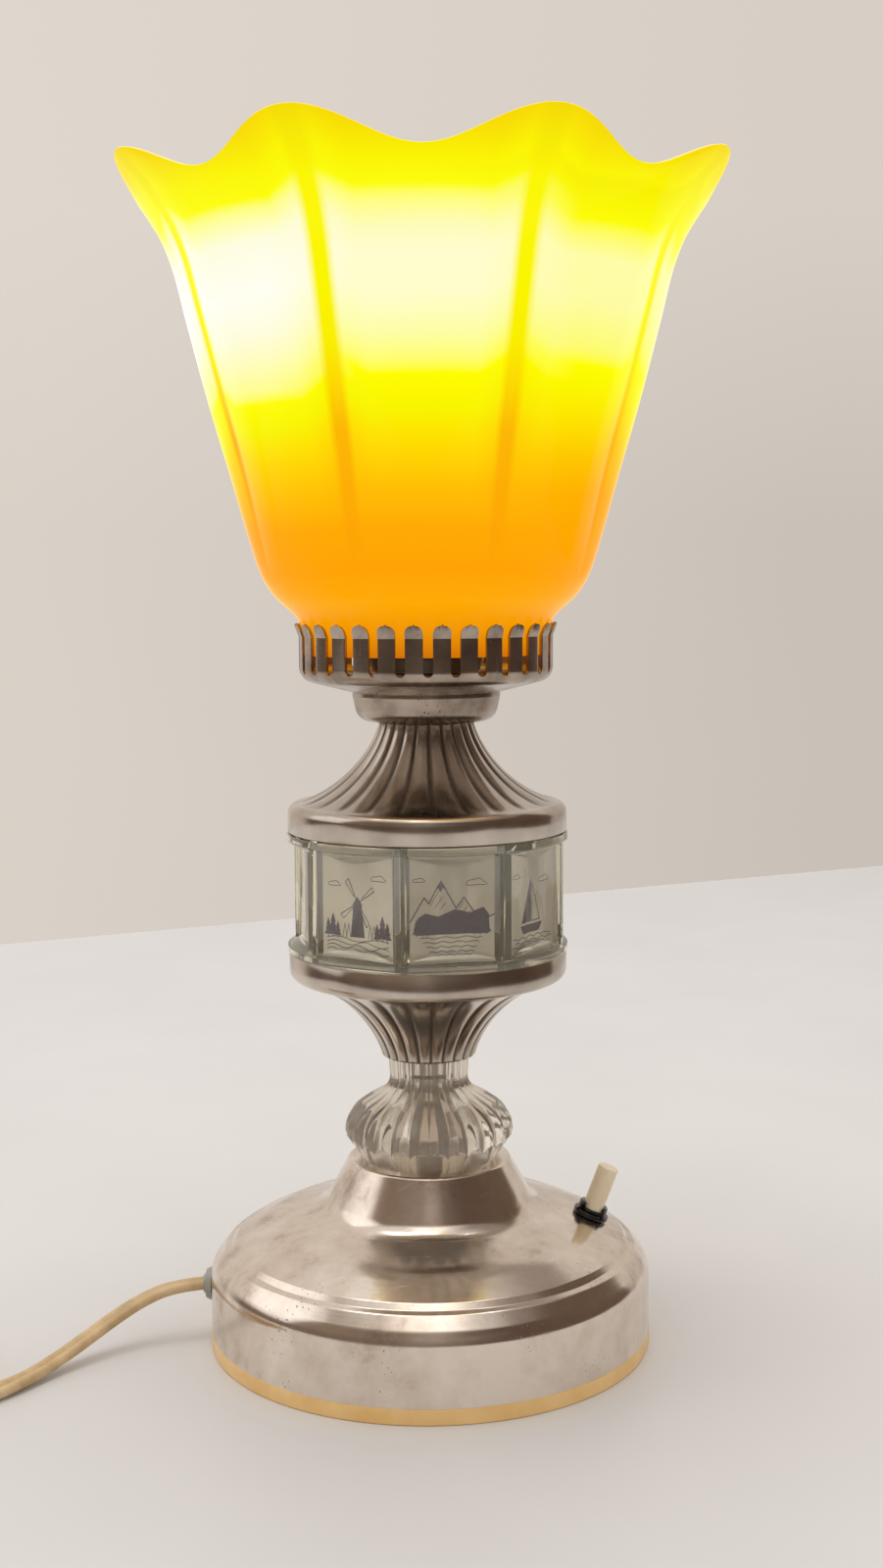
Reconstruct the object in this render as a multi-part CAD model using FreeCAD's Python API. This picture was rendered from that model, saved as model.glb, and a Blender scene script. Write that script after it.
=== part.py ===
import FreeCAD, Part
import math
import os

from FreeCAD import Rotation, Vector

# Vintage table lamp: round spun base, cut acrylic knop, two reeded cones with a turning ring of
# eight picture windows between them, a fingered gallery and a wavy glass shade.
# Millimetres, +Z up, origin on the table at the centre of the base. The front is -Y.

FRONT = -90.0
FULL_TURN = 360.0

# Sheet, clearances and fasteners
sheet = 0.9
fit_gap = 0.05
running_gap = 0.10
clear_gap = 0.30

# Base
base_r = 74.0
cover_h = 5.3
cover_lip = 0.1
cover_floor = 2.0
cover_recess = 1.0
cover_rim_wall = 1.8
cover_rim_h = 4.0
cover_rib_top = 7.0
wall_h = 21.4
shoulder_round = 9.4
land_in = 5.1
land_rise = 6.0
land_round = 3.0
dome_edge_in = 7.6
dome_edge_rise = 1.5
dome_edge_round = 2.2
dome_bend_in = 14.0
dome_bend_rise = 4.1
dome_bend_round = 30.0
switch_seat_in = 19.5
switch_seat_rise = 2.6
switch_seat_round = 40.0
dome_foot_in = 38.0
dome_foot_rise = 5.3
dome_foot_round = 10.0
neck_top_r = 26.9
neck_rise = 16.3
neck_edge_round = 1.6

# Ballast inside the base
ballast_in = 14.0
ballast_h = 7.0
cover_screw_count = 3
cover_screw_pcd = 90.0
cover_screw_r = 2.0
cover_screw_head_r = 3.8
cover_screw_head_h = 2.0

# Threaded centre tube, its nuts and washer
tube_r = 5.0
tube_bore_r = 4.0
tube_slot_h = 11.0
tube_slot_w = 4.6
tube_slot_z = 34.0
nut_across_flats = 17.0
nut_h = 5.0
washer_r = 14.0
washer_h = 1.5

# Cut acrylic knop
knop_h = 34.7
knop_panels = 26
knop_wide_r = 28.3
knop_wide_h = 8.5
knop_neck_r = 13.1
knop_neck_h = 27.5
knop_top_r = 13.5
knop_foot_r = 22.5
knop_panel_dip = 0.55
knop_core_r = 15.0
knop_core_h = 10.0
knop_core_top_r = 7.0
knop_core_top_h = 27.0

# Reeded cones, the same casting used twice
cone_h = 36.2
cone_rim_r = 46.2
cone_band_h = 6.0
cone_shoulder = 3.4
cone_throat_r = 15.9
cone_wall = 1.1
cone_web = 1.2
reed_count = 24
reed_depth = 1.0
reed_turn = 2.6
groove_run = 0.12
cone_collar_round = 1.2

# Turning ring of picture windows
ring_h = 39.6
ring_play = 0.3
ring_flange_out = 0.4
ring_flange_h = 2.3
ring_waist_in = 5.2
ring_waist_drop = 9.0
window_count = 8
window_flat_in = 4.7
window_t = 2.5
ring_lip_h = 2.0
ring_lip_wall = 2.0
bar_turn = 11.3
bar_in = 0.9
bar_face_w = 3.4
bar_foot_w = 6.6
bar_root = 3.0
bar_foot_in = 2.6
print_t = 0.5
print_margin = 0.4
sleeve_wall = 1.6

# Cup under the gallery
cup_h = 9.6
cup_top_r = 24.4
cup_foot_r = 22.6
cup_round = 5.0
cup_lip_h = 1.2
cup_lip_round = 0.6

# Fingered gallery
gallery_r = 41.7
gallery_sheet = 1.0
dish_rise = 4.4
dish_round = 5.0
slot_floor_h = 6.4
kink_h = 18.4
tip_h = 22.4
tip_r = 43.2
finger_count = 30
finger_turn = 6.9
slot_w = 3.1
tip_round = 2.5

# Lampholder
holder_r = 19.4
holder_wall = 2.2
holder_base_h = 16.0
holder_shell_h = 32.0
holder_floor = 3.0
porcelain_h = 5.0
liner_t = 0.6
liner_h = 19.0
contact_t = 0.6
contact_w = 5.0
contact_rise = 2.2

# Bulb
cap_r = 13.2
cap_h = 24.0
cap_tip_r = 4.5
cap_tip_h = 3.0
bulb_r = 30.0
bulb_neck_r = 14.0
bulb_globe_rise = 50.0
bulb_glass_t = 0.8
stem_r = 5.0
stem_h = 34.0

# Glass shade
petal_count = 8
shade_wall = 2.3
shade_foot_gap = 6.0
crease_depth = 2.3
crease_foot_h = 24.0
shade_rim_h = 148.7
shade_rim_wave = 5.1
wave_foot_h = 112.0
# Height above the foot and outer radius of the glass, midway between two creases
shade_stations = [
    (0.0, 40.2),
    (6.5, 40.3),
    (12.0, 42.2),
    (18.4, 48.9),
    (25.0, 53.3),
    (37.5, 57.5),
    (56.5, 62.8),
    (81.8, 70.0),
    (106.7, 76.4),
    (122.0, 80.1),
    (131.5, 83.6),
    (138.5, 87.6),
    (146.0, 93.0),
    (155.0, 101.6),
]
shade_sections = [0.0, 6.5, 12.0, 18.4, 25.0, 37.5, 60.0, 86.0, 109.0, 124.0, 135.0, 143.0, 148.7]

# Push switch on the dome
bush_r = 5.0
bush_bore_r = 3.8
bush_rise = 4.4
bush_drop = 6.0
bush_notch = 1.6
bush_notch_w = 6.4
ring_nut_r = 6.0
ring_nut_h = 2.0
plunger_r = 3.5
plunger_rise = 14.0
plunger_travel = 4.0
plunger_drop = 9.0
plunger_collar_r = 4.6
plunger_collar_h = 1.2
switch_long = 18.0
switch_wide = 16.0
switch_deep = 18.0
switch_top_drop = 3.0
switch_neck_r = 7.0
switch_neck_h = 1.1
switch_corner_round = 1.2
terminal_t = 0.8
terminal_w = 4.0
terminal_l = 3.0

# Cord, gland, coil and plug
cord_r = 2.5
gland_z = 18.0
gland_flange_r = 5.8
gland_flange_t = 2.0
gland_neck_r = 4.2
gland_tail = 3.0
gland_taper_l = 1.0
coil_pitch = 5.6
coil_layer_step = 6.6
coil_z = 3.7
coil_mid_r = 36.0
coil_turns = 7.3
coil_tail = 30.0
plug_l = 34.0
plug_wide = 36.0
plug_thick = 19.0
plug_neck_r = 6.0
pin_r = 2.0
pin_l = 19.0
pin_spacing = 19.0
tie_w = 6.0
tie_t = 0.5
tie_gap = 0.5
tie_angle = 80.0
lead_r = 1.6

# Free cord, from the gland to the coil: points chosen by hand along the photographed run
cord_route = [
    (-77.0, 0.0, 18.0),
    (-87.0, -1.6, 17.6),
    (-97.0, -6.2, 14.8),
    (-106.2, -13.6, 10.8),
    (-115.0, -22.8, 6.6),
    (-123.0, -32.8, 3.6),
    (-130.0, -43.0, 2.6),
    (-137.2, -52.6, 2.7),
    (-145.5, -61.3, 3.1),
    (-154.3, -69.5, 3.7),
    (-163.5, -77.2, 3.7),
]

# Radii that follow from the base's edge and from the cones' rim
land_r = base_r - land_in
dome_edge_r = base_r - dome_edge_in
dome_bend_r = base_r - dome_bend_in
switch_seat_r = base_r - switch_seat_in
dome_foot_r = base_r - dome_foot_in
ballast_r = base_r - ballast_in
ring_flange_r = cone_rim_r + ring_flange_out
ring_waist_r = cone_rim_r - ring_waist_in
window_flat = cone_rim_r - window_flat_in
window_bore_flat = window_flat - window_t
bar_r = cone_rim_r - bar_in
bar_foot_r = cone_rim_r - bar_foot_in

# Heights that follow from the sizes above
wall_top = cover_h + wall_h
land_z = wall_top + land_rise
dome_edge_z = land_z + dome_edge_rise
dome_bend_z = dome_edge_z + dome_bend_rise
switch_seat_z = dome_bend_z + switch_seat_rise
dome_foot_z = switch_seat_z + dome_foot_rise
base_top = dome_foot_z + neck_rise
knop_z = base_top
lower_cone_z = knop_z + knop_h
ring_z = lower_cone_z + cone_h
upper_seam_z = ring_z + ring_h + ring_play
cup_z = upper_seam_z + cone_h
gallery_z = cup_z + cup_h
dish_floor_z = gallery_z + gallery_sheet
holder_z = dish_floor_z + nut_h
holder_split_z = holder_z + holder_base_h
holder_top = holder_split_z + holder_shell_h
porcelain_z = holder_split_z - porcelain_h / 2
porcelain_top = porcelain_z + porcelain_h
bulb_tip_z = porcelain_top + contact_rise + clear_gap
cap_z = bulb_tip_z + cap_tip_h
cap_top = cap_z + cap_h
shade_z = dish_floor_z + shade_foot_gap + slot_floor_h - gallery_sheet


def radial(radius, angle, z=0.0):
    turn = math.radians(angle)
    return Vector(radius * math.cos(turn), radius * math.sin(turn), z)


def about_z(shape, angle):
    turned = shape.copy()
    turned.rotate(Vector(0, 0, 0), Vector(0, 0, 1), angle)
    return turned


def disc(radius, height, z, hole=0.0):
    body = Part.makeCylinder(radius, height, Vector(0, 0, z))
    if hole > 0:
        body = body.cut(Part.makeCylinder(hole, height, Vector(0, 0, z)))
    return body


def around(count, start, shape):
    step = FULL_TURN / count
    return [about_z(shape, start + step * index) for index in range(count)]


def hex_nut(z, height=nut_h):
    corner = nut_across_flats / math.sqrt(3)
    ring = [radial(corner, 60.0 * side, z) for side in range(7)]
    body = Part.Face(Part.makePolygon(ring)).extrude(Vector(0, 0, height))
    return body.cut(Part.makeCylinder(tube_r + fit_gap, height, Vector(0, 0, z)))


def corner_round(before, corner, after, radius):
    """Tangent points and middle of the arc that rounds one corner of an outline."""
    back = (before - corner).normalize()
    ahead = (after - corner).normalize()
    half = back.getAngle(ahead) / 2
    reach = radius / math.tan(half)
    start = corner + back * reach
    end = corner + ahead * reach
    centre = corner + (back + ahead).normalize() * (radius / math.sin(half))
    middle = centre + (corner - centre).normalize() * radius
    return start, middle, end


def outline(corners):
    """Edges of an open (r, z, rounding) outline in the XZ plane, with its rounded corners."""
    points = [Vector(r, 0, z) for r, z, rounding in corners]
    edges = []
    last = points[0]
    for index in range(1, len(points) - 1):
        rounding = corners[index][2]
        if rounding > 0:
            start, middle, end = corner_round(points[index - 1], points[index], points[index + 1], rounding)
            edges.append(Part.LineSegment(last, start).toShape())
            edges.append(Part.Arc(start, middle, end).toShape())
            last = end
        else:
            edges.append(Part.LineSegment(last, points[index]).toShape())
            last = points[index]
    edges.append(Part.LineSegment(last, points[-1]).toShape())
    return edges


def inner_corners(corners, wall):
    """The same outline moved to its right-hand side by the wall, corner by corner."""
    points = [Vector(r, z, 0) for r, z, rounding in corners]
    moved = []
    lines = []
    for start, end in zip(points, points[1:]):
        along = (end - start).normalize()
        side = Vector(along.y, -along.x, 0) * wall
        lines.append((start + side, along))
    moved.append((lines[0][0].x, lines[0][0].y, 0.0))
    for index in range(1, len(lines)):
        first, along = lines[index - 1]
        second, onward = lines[index]
        cross = along.x * onward.y - along.y * onward.x
        gap = second - first
        reach = (gap.x * onward.y - gap.y * onward.x) / cross
        corner = first + along * reach
        rounding = corners[index][2]
        if rounding > 0:
            rounding = max(rounding + (wall if cross > 0 else -wall), 0.1)
        moved.append((corner.x, corner.y, rounding))
    end = points[-1]
    first, along = lines[-1]
    side = Vector(along.y, -along.x, 0) * wall
    moved.append(((end + side).x, (end + side).y, 0.0))
    return moved


def spun(corners, wall):
    """A shell of revolution: a wall above zero lies on the right-hand side of the outline."""
    outer = outline(corners)
    inner = outline(inner_corners(corners, wall))
    first = Part.LineSegment(outer[0].firstVertex().Point, inner[0].firstVertex().Point).toShape()
    last = Part.LineSegment(outer[-1].lastVertex().Point, inner[-1].lastVertex().Point).toShape()
    wire = Part.Wire(Part.__sortEdges__(outer + inner + [first, last]))
    return Part.Face(wire).revolve(Vector(0, 0, 0), Vector(0, 0, 1), FULL_TURN)


def turned(corners):
    """A solid of revolution: the outline is closed along the axis by its own ends."""
    edges = outline(corners)
    first = edges[0].firstVertex().Point
    last = edges[-1].lastVertex().Point
    edges.append(Part.LineSegment(last, first).toShape())
    return Part.Face(Part.Wire(Part.__sortEdges__(edges))).revolve(Vector(0, 0, 0), Vector(0, 0, 1), FULL_TURN)


def bezier(points, t):
    """Point (r, z) of a cubic curve given by four (r, z) control points."""
    weights = [(1 - t) ** 3, 3 * t * (1 - t) ** 2, 3 * t * t * (1 - t), t ** 3]
    r = sum(weight * point[0] for weight, point in zip(weights, points))
    z = sum(weight * point[1] for weight, point in zip(weights, points))
    return r, z


def lobed_wire(count, edge_r, middle_r, z, start):
    """A ring of arcs: each runs from one edge angle to the next through its middle radius."""
    step = FULL_TURN / count
    arcs = []
    for index in range(count):
        angle = start + step * index
        first = radial(edge_r, angle, z)
        middle = radial(middle_r, angle + step / 2, z)
        last = radial(edge_r, angle + step, z)
        arcs.append(Part.Arc(first, middle, last).toShape())
    return Part.Wire(arcs)


def polygon_wire(count, radius, z, start):
    return Part.makePolygon([radial(radius, start + FULL_TURN / count * index, z) for index in range(count + 1)])


def save(shape, name):
    if not shape.isValid():
        print("not valid:", name)
    solids = shape.Solids
    result = solids[0] if len(solids) == 1 else Part.makeCompound(solids)
    result.exportStep("parts/" + name + ".step")
    print(name, len(solids), round(shape.Volume, 1))


# Base

shell_outline = [
    (base_r, cover_h, 0.0),
    (base_r, wall_top, shoulder_round),
    (land_r, land_z, land_round),
    (dome_edge_r, dome_edge_z, dome_edge_round),
    (dome_bend_r, dome_bend_z, dome_bend_round),
    (switch_seat_r, switch_seat_z, switch_seat_round),
    (dome_foot_r, dome_foot_z, dome_foot_round),
    (neck_top_r, base_top, neck_edge_round),
    (tube_r + clear_gap, base_top, 0.0),
]
outer_slope = math.atan2(switch_seat_rise, dome_bend_r - switch_seat_r)
inner_slope = math.atan2(dome_foot_rise, switch_seat_r - dome_foot_r)
switch_tilt = math.degrees((outer_slope + inner_slope) / 2)
seat_drop = switch_seat_round * (1 / math.cos((outer_slope - inner_slope) / 2) - 1)


def at_switch(shape):
    """Stands a shape, drawn along +Z from the origin, on the dome where the switch goes."""
    placed = shape.copy()
    placed.rotate(Vector(0, 0, 0), Vector(0, 1, 0), switch_tilt)
    placed.translate(Vector(switch_seat_r, 0, switch_seat_z) - switch_axis * seat_drop)
    return placed


switch_axis = Rotation(Vector(0, 1, 0), switch_tilt).multVec(Vector(0, 0, 1))


def make_base_shell():
    shell = spun(shell_outline, -sheet)
    bush_hole = at_switch(Part.makeCylinder(bush_r + clear_gap, 6 * sheet, Vector(0, 0, -3 * sheet)))
    gland_hole = Part.makeCylinder(gland_neck_r + fit_gap, 4 * sheet, Vector(-base_r - sheet, 0, gland_z), Vector(1, 0, 0))
    return shell.cut(bush_hole).cut(gland_hole)


def make_bottom_cover():
    rim_r = base_r - sheet - clear_gap
    floor_z = cover_recess
    rim = disc(base_r + cover_lip, cover_h, 0.0, rim_r - cover_rim_wall)
    rim = rim.fuse(disc(rim_r, cover_h + cover_rim_h, 0.0, rim_r - cover_rim_wall))
    hub_r = nut_across_flats / math.sqrt(3) + 2 * clear_gap
    floor = disc(rim_r - cover_rim_wall / 2, cover_floor, floor_z, hub_r)
    ribs = []
    floor_top = floor_z + cover_floor
    rib = Part.makeBox(rim_r - 25.0, 2.0, cover_rib_top - floor_top, Vector(24.0, -1.0, floor_top))
    ribs += around(6, 30.0, rib)
    boss = Part.makeCylinder(cover_screw_head_r + 1.4, cover_rib_top - floor_z, Vector(cover_screw_pcd / 2, 0, floor_z))
    ribs += around(cover_screw_count, 60.0, boss)
    hub = disc(hub_r + cover_floor, cover_rib_top - floor_z, floor_z, hub_r)
    body = rim.fuse([floor, hub] + ribs)
    shank = Part.makeCylinder(cover_screw_r + fit_gap, 20.0, Vector(cover_screw_pcd / 2, 0, 0))
    sink = Part.makeCylinder(cover_screw_head_r + fit_gap, cover_floor + 1.0, Vector(cover_screw_pcd / 2, 0, 0))
    holes = around(cover_screw_count, 60.0, shank.fuse(sink))
    return body.cut(holes).removeSplitter()


def make_cover_screws():
    head_z = cover_floor + 1.0 - cover_screw_head_h
    head = Part.makeCylinder(cover_screw_head_r, cover_screw_head_h, Vector(cover_screw_pcd / 2, 0, head_z))
    drive = Part.makeBox(2 * cover_screw_head_r + 1, 1.0, 1.0, Vector(cover_screw_pcd / 2 - cover_screw_head_r - 0.5, -0.5, head_z))
    length = cover_rib_top + ballast_h - 1.0 - head_z
    shank = Part.makeCylinder(cover_screw_r, length, Vector(cover_screw_pcd / 2, 0, head_z))
    return Part.makeCompound(around(cover_screw_count, 60.0, head.cut(drive).fuse(shank.cut(drive))))


def make_ballast():
    weight = disc(ballast_r, ballast_h, cover_rib_top, tube_r + clear_gap)
    weight = weight.makeChamfer(1.0, [edge for edge in weight.Edges if edge.Length > 5 * ballast_r])
    hole = Part.makeCylinder(cover_screw_r + fit_gap, ballast_h, Vector(cover_screw_pcd / 2, 0, cover_rib_top))
    return weight.cut(around(cover_screw_count, 60.0, hole))


def make_ballast_nut():
    return hex_nut(cover_rib_top - nut_h)


def make_neck_washer():
    return disc(washer_r, washer_h, base_top - sheet - washer_h, tube_r + fit_gap)


def make_neck_nut():
    return hex_nut(base_top - sheet - washer_h - nut_h)


def make_centre_tube():
    foot = cover_recess
    length = holder_z + holder_floor - foot
    tube = disc(tube_r, length, foot, tube_bore_r)
    slot = Part.makeBox(2 * tube_r, tube_slot_w, tube_slot_h, Vector(0, -tube_slot_w / 2, tube_slot_z))
    return tube.cut(slot)


# Knop

def make_knop():
    flare = [
        (knop_neck_r, knop_neck_h),
        (knop_neck_r, knop_neck_h - 7.5),
        (knop_wide_r + 0.2, knop_wide_h + 12.5),
        (knop_wide_r, knop_wide_h),
    ]
    stations = [bezier(flare, t) for t in (1.0, 0.82, 0.66, 0.5, 0.34, 0.18, 0.0)]
    foot_drop = knop_wide_r - knop_foot_r
    stations = [(knop_wide_r - 0.35 * foot_drop, 0.0)] + stations + [(knop_top_r, knop_h)]
    start = FRONT - FULL_TURN / knop_panels / 2
    half_step = math.radians(FULL_TURN / knop_panels / 2)
    rings = []
    for r, h in stations:
        dip = knop_panel_dip * r / knop_wide_r + r * (1 - math.cos(half_step))
        rings.append(lobed_wire(knop_panels, r, r - dip, knop_z + h, start))
    body = Part.makeLoft(rings, True, True)
    # The lower facets: a tapered prism whose flats take the corners off between the panels
    apex_r = knop_wide_r / math.cos(half_step)
    facets = Part.makeLoft([
        polygon_wire(knop_panels, knop_foot_r / math.cos(half_step), knop_z, FRONT),
        polygon_wire(knop_panels, apex_r, knop_z + knop_wide_h, FRONT),
        polygon_wire(knop_panels, apex_r + 3.0, knop_z + knop_h, FRONT),
    ], True, True)
    core = turned([
        (0, knop_z, 0.0),
        (knop_core_r, knop_z, 0.0),
        (knop_core_r, knop_z + knop_core_h, 0.0),
        (knop_core_top_r, knop_z + knop_core_top_h, 0.0),
        (0, knop_z + knop_core_top_h, 0.0),
    ])
    return body.common(facets).cut(core).cut(Part.makeCylinder(tube_r + clear_gap, knop_h, Vector(0, 0, knop_z)))


# Cones

def make_cone():
    """Casting with its open rim at height 0 and its throat at height cone_h."""
    sweep_foot_h = cone_band_h + cone_shoulder
    flare = [
        (cone_rim_r - cone_shoulder, sweep_foot_h),
        (31.0, 12.6),
        (19.5, 23.5),
        (cone_throat_r, cone_h - cone_collar_round),
    ]
    band = turned([
        (0, 0, 0.0),
        (cone_rim_r, 0, 0.0),
        (cone_rim_r, sweep_foot_h, 0.97 * cone_shoulder),
        (cone_rim_r - cone_shoulder, sweep_foot_h, 0.0),
        (0, sweep_foot_h, 0.0),
    ])
    start = FRONT + reed_turn
    rings = []
    inner = [(0, 0, 0.0), (cone_rim_r - cone_wall, 0, 0.0), (cone_rim_r - cone_wall, cone_band_h, 2.0)]
    for t in (0.0, 0.07, 0.18, 0.32, 0.48, 0.66, 0.84, 1.0):
        r, h = bezier(flare, t)
        fade = min(1.0, math.sqrt(t / groove_run)) * (1.0 - 0.45 * t)
        depth = reed_depth * fade
        rings.append(lobed_wire(reed_count, r - depth, r, h, start))
        if t > 0:
            inner.append((r - reed_depth - cone_wall, h - 0.8 * cone_wall, 0.0))
    reeds = Part.makeLoft(rings, True, True)
    collar = turned([
        (0, cone_h - cone_collar_round, 0.0),
        (cone_throat_r - 0.6, cone_h - cone_collar_round, 0.0),
        (cone_throat_r - 0.6, cone_h, 0.8),
        (0, cone_h, 0.0),
    ])
    inner.append((inner[-1][0], cone_h - cone_web, 0.0))
    inner.append((0, cone_h - cone_web, 0.0))
    body = band.fuse([reeds, collar])
    bore = Part.makeCylinder(tube_r + clear_gap, cone_h)
    return body.cut([turned(inner), bore])


def make_lower_cone():
    cone = make_cone()
    cone.rotate(Vector(0, 0, 0), Vector(0, 1, 0), 180)
    cone.translate(Vector(0, 0, ring_z))
    return cone


def make_upper_cone():
    cone = make_cone()
    cone.translate(Vector(0, 0, upper_seam_z))
    return cone


def make_spacer_sleeve():
    foot = lower_cone_z + cone_web
    length = upper_seam_z + cone_h - cone_web - foot
    return disc(tube_r + clear_gap + sleeve_wall, length, foot, tube_r + clear_gap)


# Turning ring

def make_window_ring():
    corner_start = FRONT - bar_turn
    corner = math.cos(math.pi / window_count)
    prism = Part.Face(polygon_wire(window_count, window_flat / corner, 0, corner_start))
    prism = prism.extrude(Vector(0, 0, ring_h))
    # Flared ends: concave arcs from the flanges in to the waist behind the flats
    flare_in = ring_flange_r - ring_waist_r
    flare_down = ring_waist_drop - ring_flange_h
    flare_r = (flare_in ** 2 + flare_down ** 2) / (2 * flare_in)
    bend = math.asin(flare_down / flare_r) / 2
    mid_r = ring_waist_r + flare_r * (1 - math.cos(bend))
    mid_drop = ring_waist_drop - flare_r * math.sin(bend)
    top = [Vector(0, 0, ring_h), Vector(ring_flange_r, 0, ring_h), Vector(ring_flange_r, 0, ring_h - ring_flange_h)]
    top_arc = Part.Arc(top[2], Vector(mid_r, 0, ring_h - mid_drop), Vector(ring_waist_r, 0, ring_h - ring_waist_drop))
    low = [Vector(ring_flange_r, 0, ring_flange_h), Vector(ring_flange_r, 0, 0), Vector(0, 0, 0)]
    low_arc = Part.Arc(Vector(ring_waist_r, 0, ring_waist_drop), Vector(mid_r, 0, mid_drop), low[0])
    edges = [
        Part.LineSegment(top[0], top[1]).toShape(),
        Part.LineSegment(top[1], top[2]).toShape(),
        top_arc.toShape(),
        Part.LineSegment(Vector(ring_waist_r, 0, ring_h - ring_waist_drop), Vector(ring_waist_r, 0, ring_waist_drop)).toShape(),
        low_arc.toShape(),
        Part.LineSegment(low[0], low[1]).toShape(),
        Part.LineSegment(low[1], low[2]).toShape(),
        Part.LineSegment(low[2], top[0]).toShape(),
    ]
    spool = Part.Face(Part.Wire(edges)).revolve(Vector(0, 0, 0), Vector(0, 0, 1), FULL_TURN)
    bar_profile = Part.makePolygon([
        Vector(bar_foot_r - bar_root, -bar_foot_w / 2, 0),
        Vector(bar_foot_r, -bar_foot_w / 2, 0),
        Vector(bar_r, -bar_face_w / 2, 0),
        Vector(bar_r, bar_face_w / 2, 0),
        Vector(bar_foot_r, bar_foot_w / 2, 0),
        Vector(bar_foot_r - bar_root, bar_foot_w / 2, 0),
        Vector(bar_foot_r - bar_root, -bar_foot_w / 2, 0),
    ])
    bar = Part.Face(bar_profile).extrude(Vector(0, 0, ring_h))
    bars = around(window_count, corner_start, bar)
    lip_r = cone_rim_r - cone_wall - running_gap
    lips = disc(lip_r, ring_h + 2 * ring_lip_h, -ring_lip_h)
    bore = Part.Face(polygon_wire(window_count, window_bore_flat / corner, -ring_lip_h, corner_start))
    bore = bore.extrude(Vector(0, 0, ring_h + 2 * ring_lip_h))
    lip_bore = Part.makeCylinder(lip_r - ring_lip_wall, ring_lip_h, Vector(0, 0, -ring_lip_h))
    lip_core = lips.cut(Part.makeCylinder(cone_rim_r, ring_h, Vector(0, 0, 0)))
    body = prism.fuse([spool] + bars)
    body = body.fuse(lip_core).cut([bore, lip_bore, lip_bore.translated(Vector(0, 0, ring_h + ring_lip_h))])
    body.translate(Vector(0, 0, ring_z))
    return body


def make_picture_strip():
    corner = math.cos(math.pi / window_count)
    corner_start = FRONT - bar_turn
    foot = ring_z + print_margin
    height = ring_h - 2 * print_margin
    outer = Part.Face(polygon_wire(window_count, window_bore_flat / corner, foot, corner_start))
    inner = Part.Face(polygon_wire(window_count, (window_bore_flat - print_t) / corner, foot, corner_start))
    return outer.extrude(Vector(0, 0, height)).cut(inner.extrude(Vector(0, 0, height)))


# Cup and gallery

def make_cup():
    corners = [
        (cup_top_r, gallery_z, 0.0),
        (cup_top_r, gallery_z - cup_lip_h, cup_lip_round),
        (cup_foot_r, cup_z, cup_round),
        (tube_r + clear_gap, cup_z, 0.0),
    ]
    return spun(corners, sheet)


def make_gallery():
    corners = [
        (tip_r, gallery_z + tip_h, 0.0),
        (gallery_r, gallery_z + kink_h, 0.6),
        (gallery_r, gallery_z + dish_rise, dish_round),
        (cup_top_r, gallery_z, 3.0),
        (tube_r + clear_gap, gallery_z, 0.0),
    ]
    bowl = spun(corners, gallery_sheet)
    half_slot = slot_w / 2
    half_pitch = gallery_r * math.sin(math.pi / finger_count) + 0.01
    floor_z = gallery_z + slot_floor_h
    arch_z = gallery_z + tip_h - tip_round
    near = gallery_r - 5 * gallery_sheet
    top_z = gallery_z + tip_h + 1.0
    bend = tip_round * math.sqrt(0.5)

    def flat(y, z):
        return Vector(near, y, z)

    reach = half_slot + tip_round
    right = Part.Arc(flat(half_slot, arch_z), flat(reach - bend, arch_z + bend), flat(reach, arch_z + tip_round))
    left = Part.Arc(flat(-reach, arch_z + tip_round), flat(bend - reach, arch_z + bend), flat(-half_slot, arch_z))
    foot = Part.Arc(flat(-half_slot, floor_z + half_slot), flat(0, floor_z), flat(half_slot, floor_z + half_slot))
    edges = [
        foot.toShape(),
        Part.LineSegment(flat(half_slot, floor_z + half_slot), flat(half_slot, arch_z)).toShape(),
        right.toShape(),
        Part.LineSegment(flat(reach, arch_z + tip_round), flat(reach, top_z)).toShape(),
        Part.LineSegment(flat(reach, top_z), flat(-reach, top_z)).toShape(),
        Part.LineSegment(flat(-reach, top_z), flat(-reach, arch_z + tip_round)).toShape(),
        left.toShape(),
        Part.LineSegment(flat(-half_slot, arch_z), flat(-half_slot, floor_z + half_slot)).toShape(),
    ]
    cutter = Part.Face(Part.Wire(edges)).extrude(Vector(8 * gallery_sheet, 0, 0))
    first_slot = FRONT + finger_turn + FULL_TURN / finger_count / 2
    return bowl.cut(around(finger_count, first_slot, cutter))


def make_gallery_nut():
    return hex_nut(dish_floor_z)


# Lampholder

def make_lampholder_base():
    body = turned([
        (0, holder_z, 0.0),
        (holder_r - 2.0, holder_z, 2.0),
        (holder_r, holder_z + 6.0, 6.0),
        (holder_r, holder_split_z, 0.0),
        (0, holder_split_z, 0.0),
    ])
    well = turned([
        (0, holder_z + holder_floor, 0.0),
        (12.0, holder_z + holder_floor, 0.0),
        (12.0, porcelain_z, 0.0),
        (holder_r - holder_wall, porcelain_z, 0.0),
        (holder_r - holder_wall, holder_split_z, 0.0),
        (0, holder_split_z, 0.0),
    ])
    thread = Part.makeCylinder(tube_r + fit_gap, holder_floor, Vector(0, 0, holder_z))
    return body.cut([well, thread])


def make_lampholder_porcelain():
    body = disc(holder_r - holder_wall - fit_gap, porcelain_h, porcelain_z)
    wires = [Part.makeCylinder(lead_r + clear_gap, porcelain_h, Vector(x, 0, porcelain_z)) for x in (-6.0, 6.0)]
    return body.cut(wires)


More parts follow.
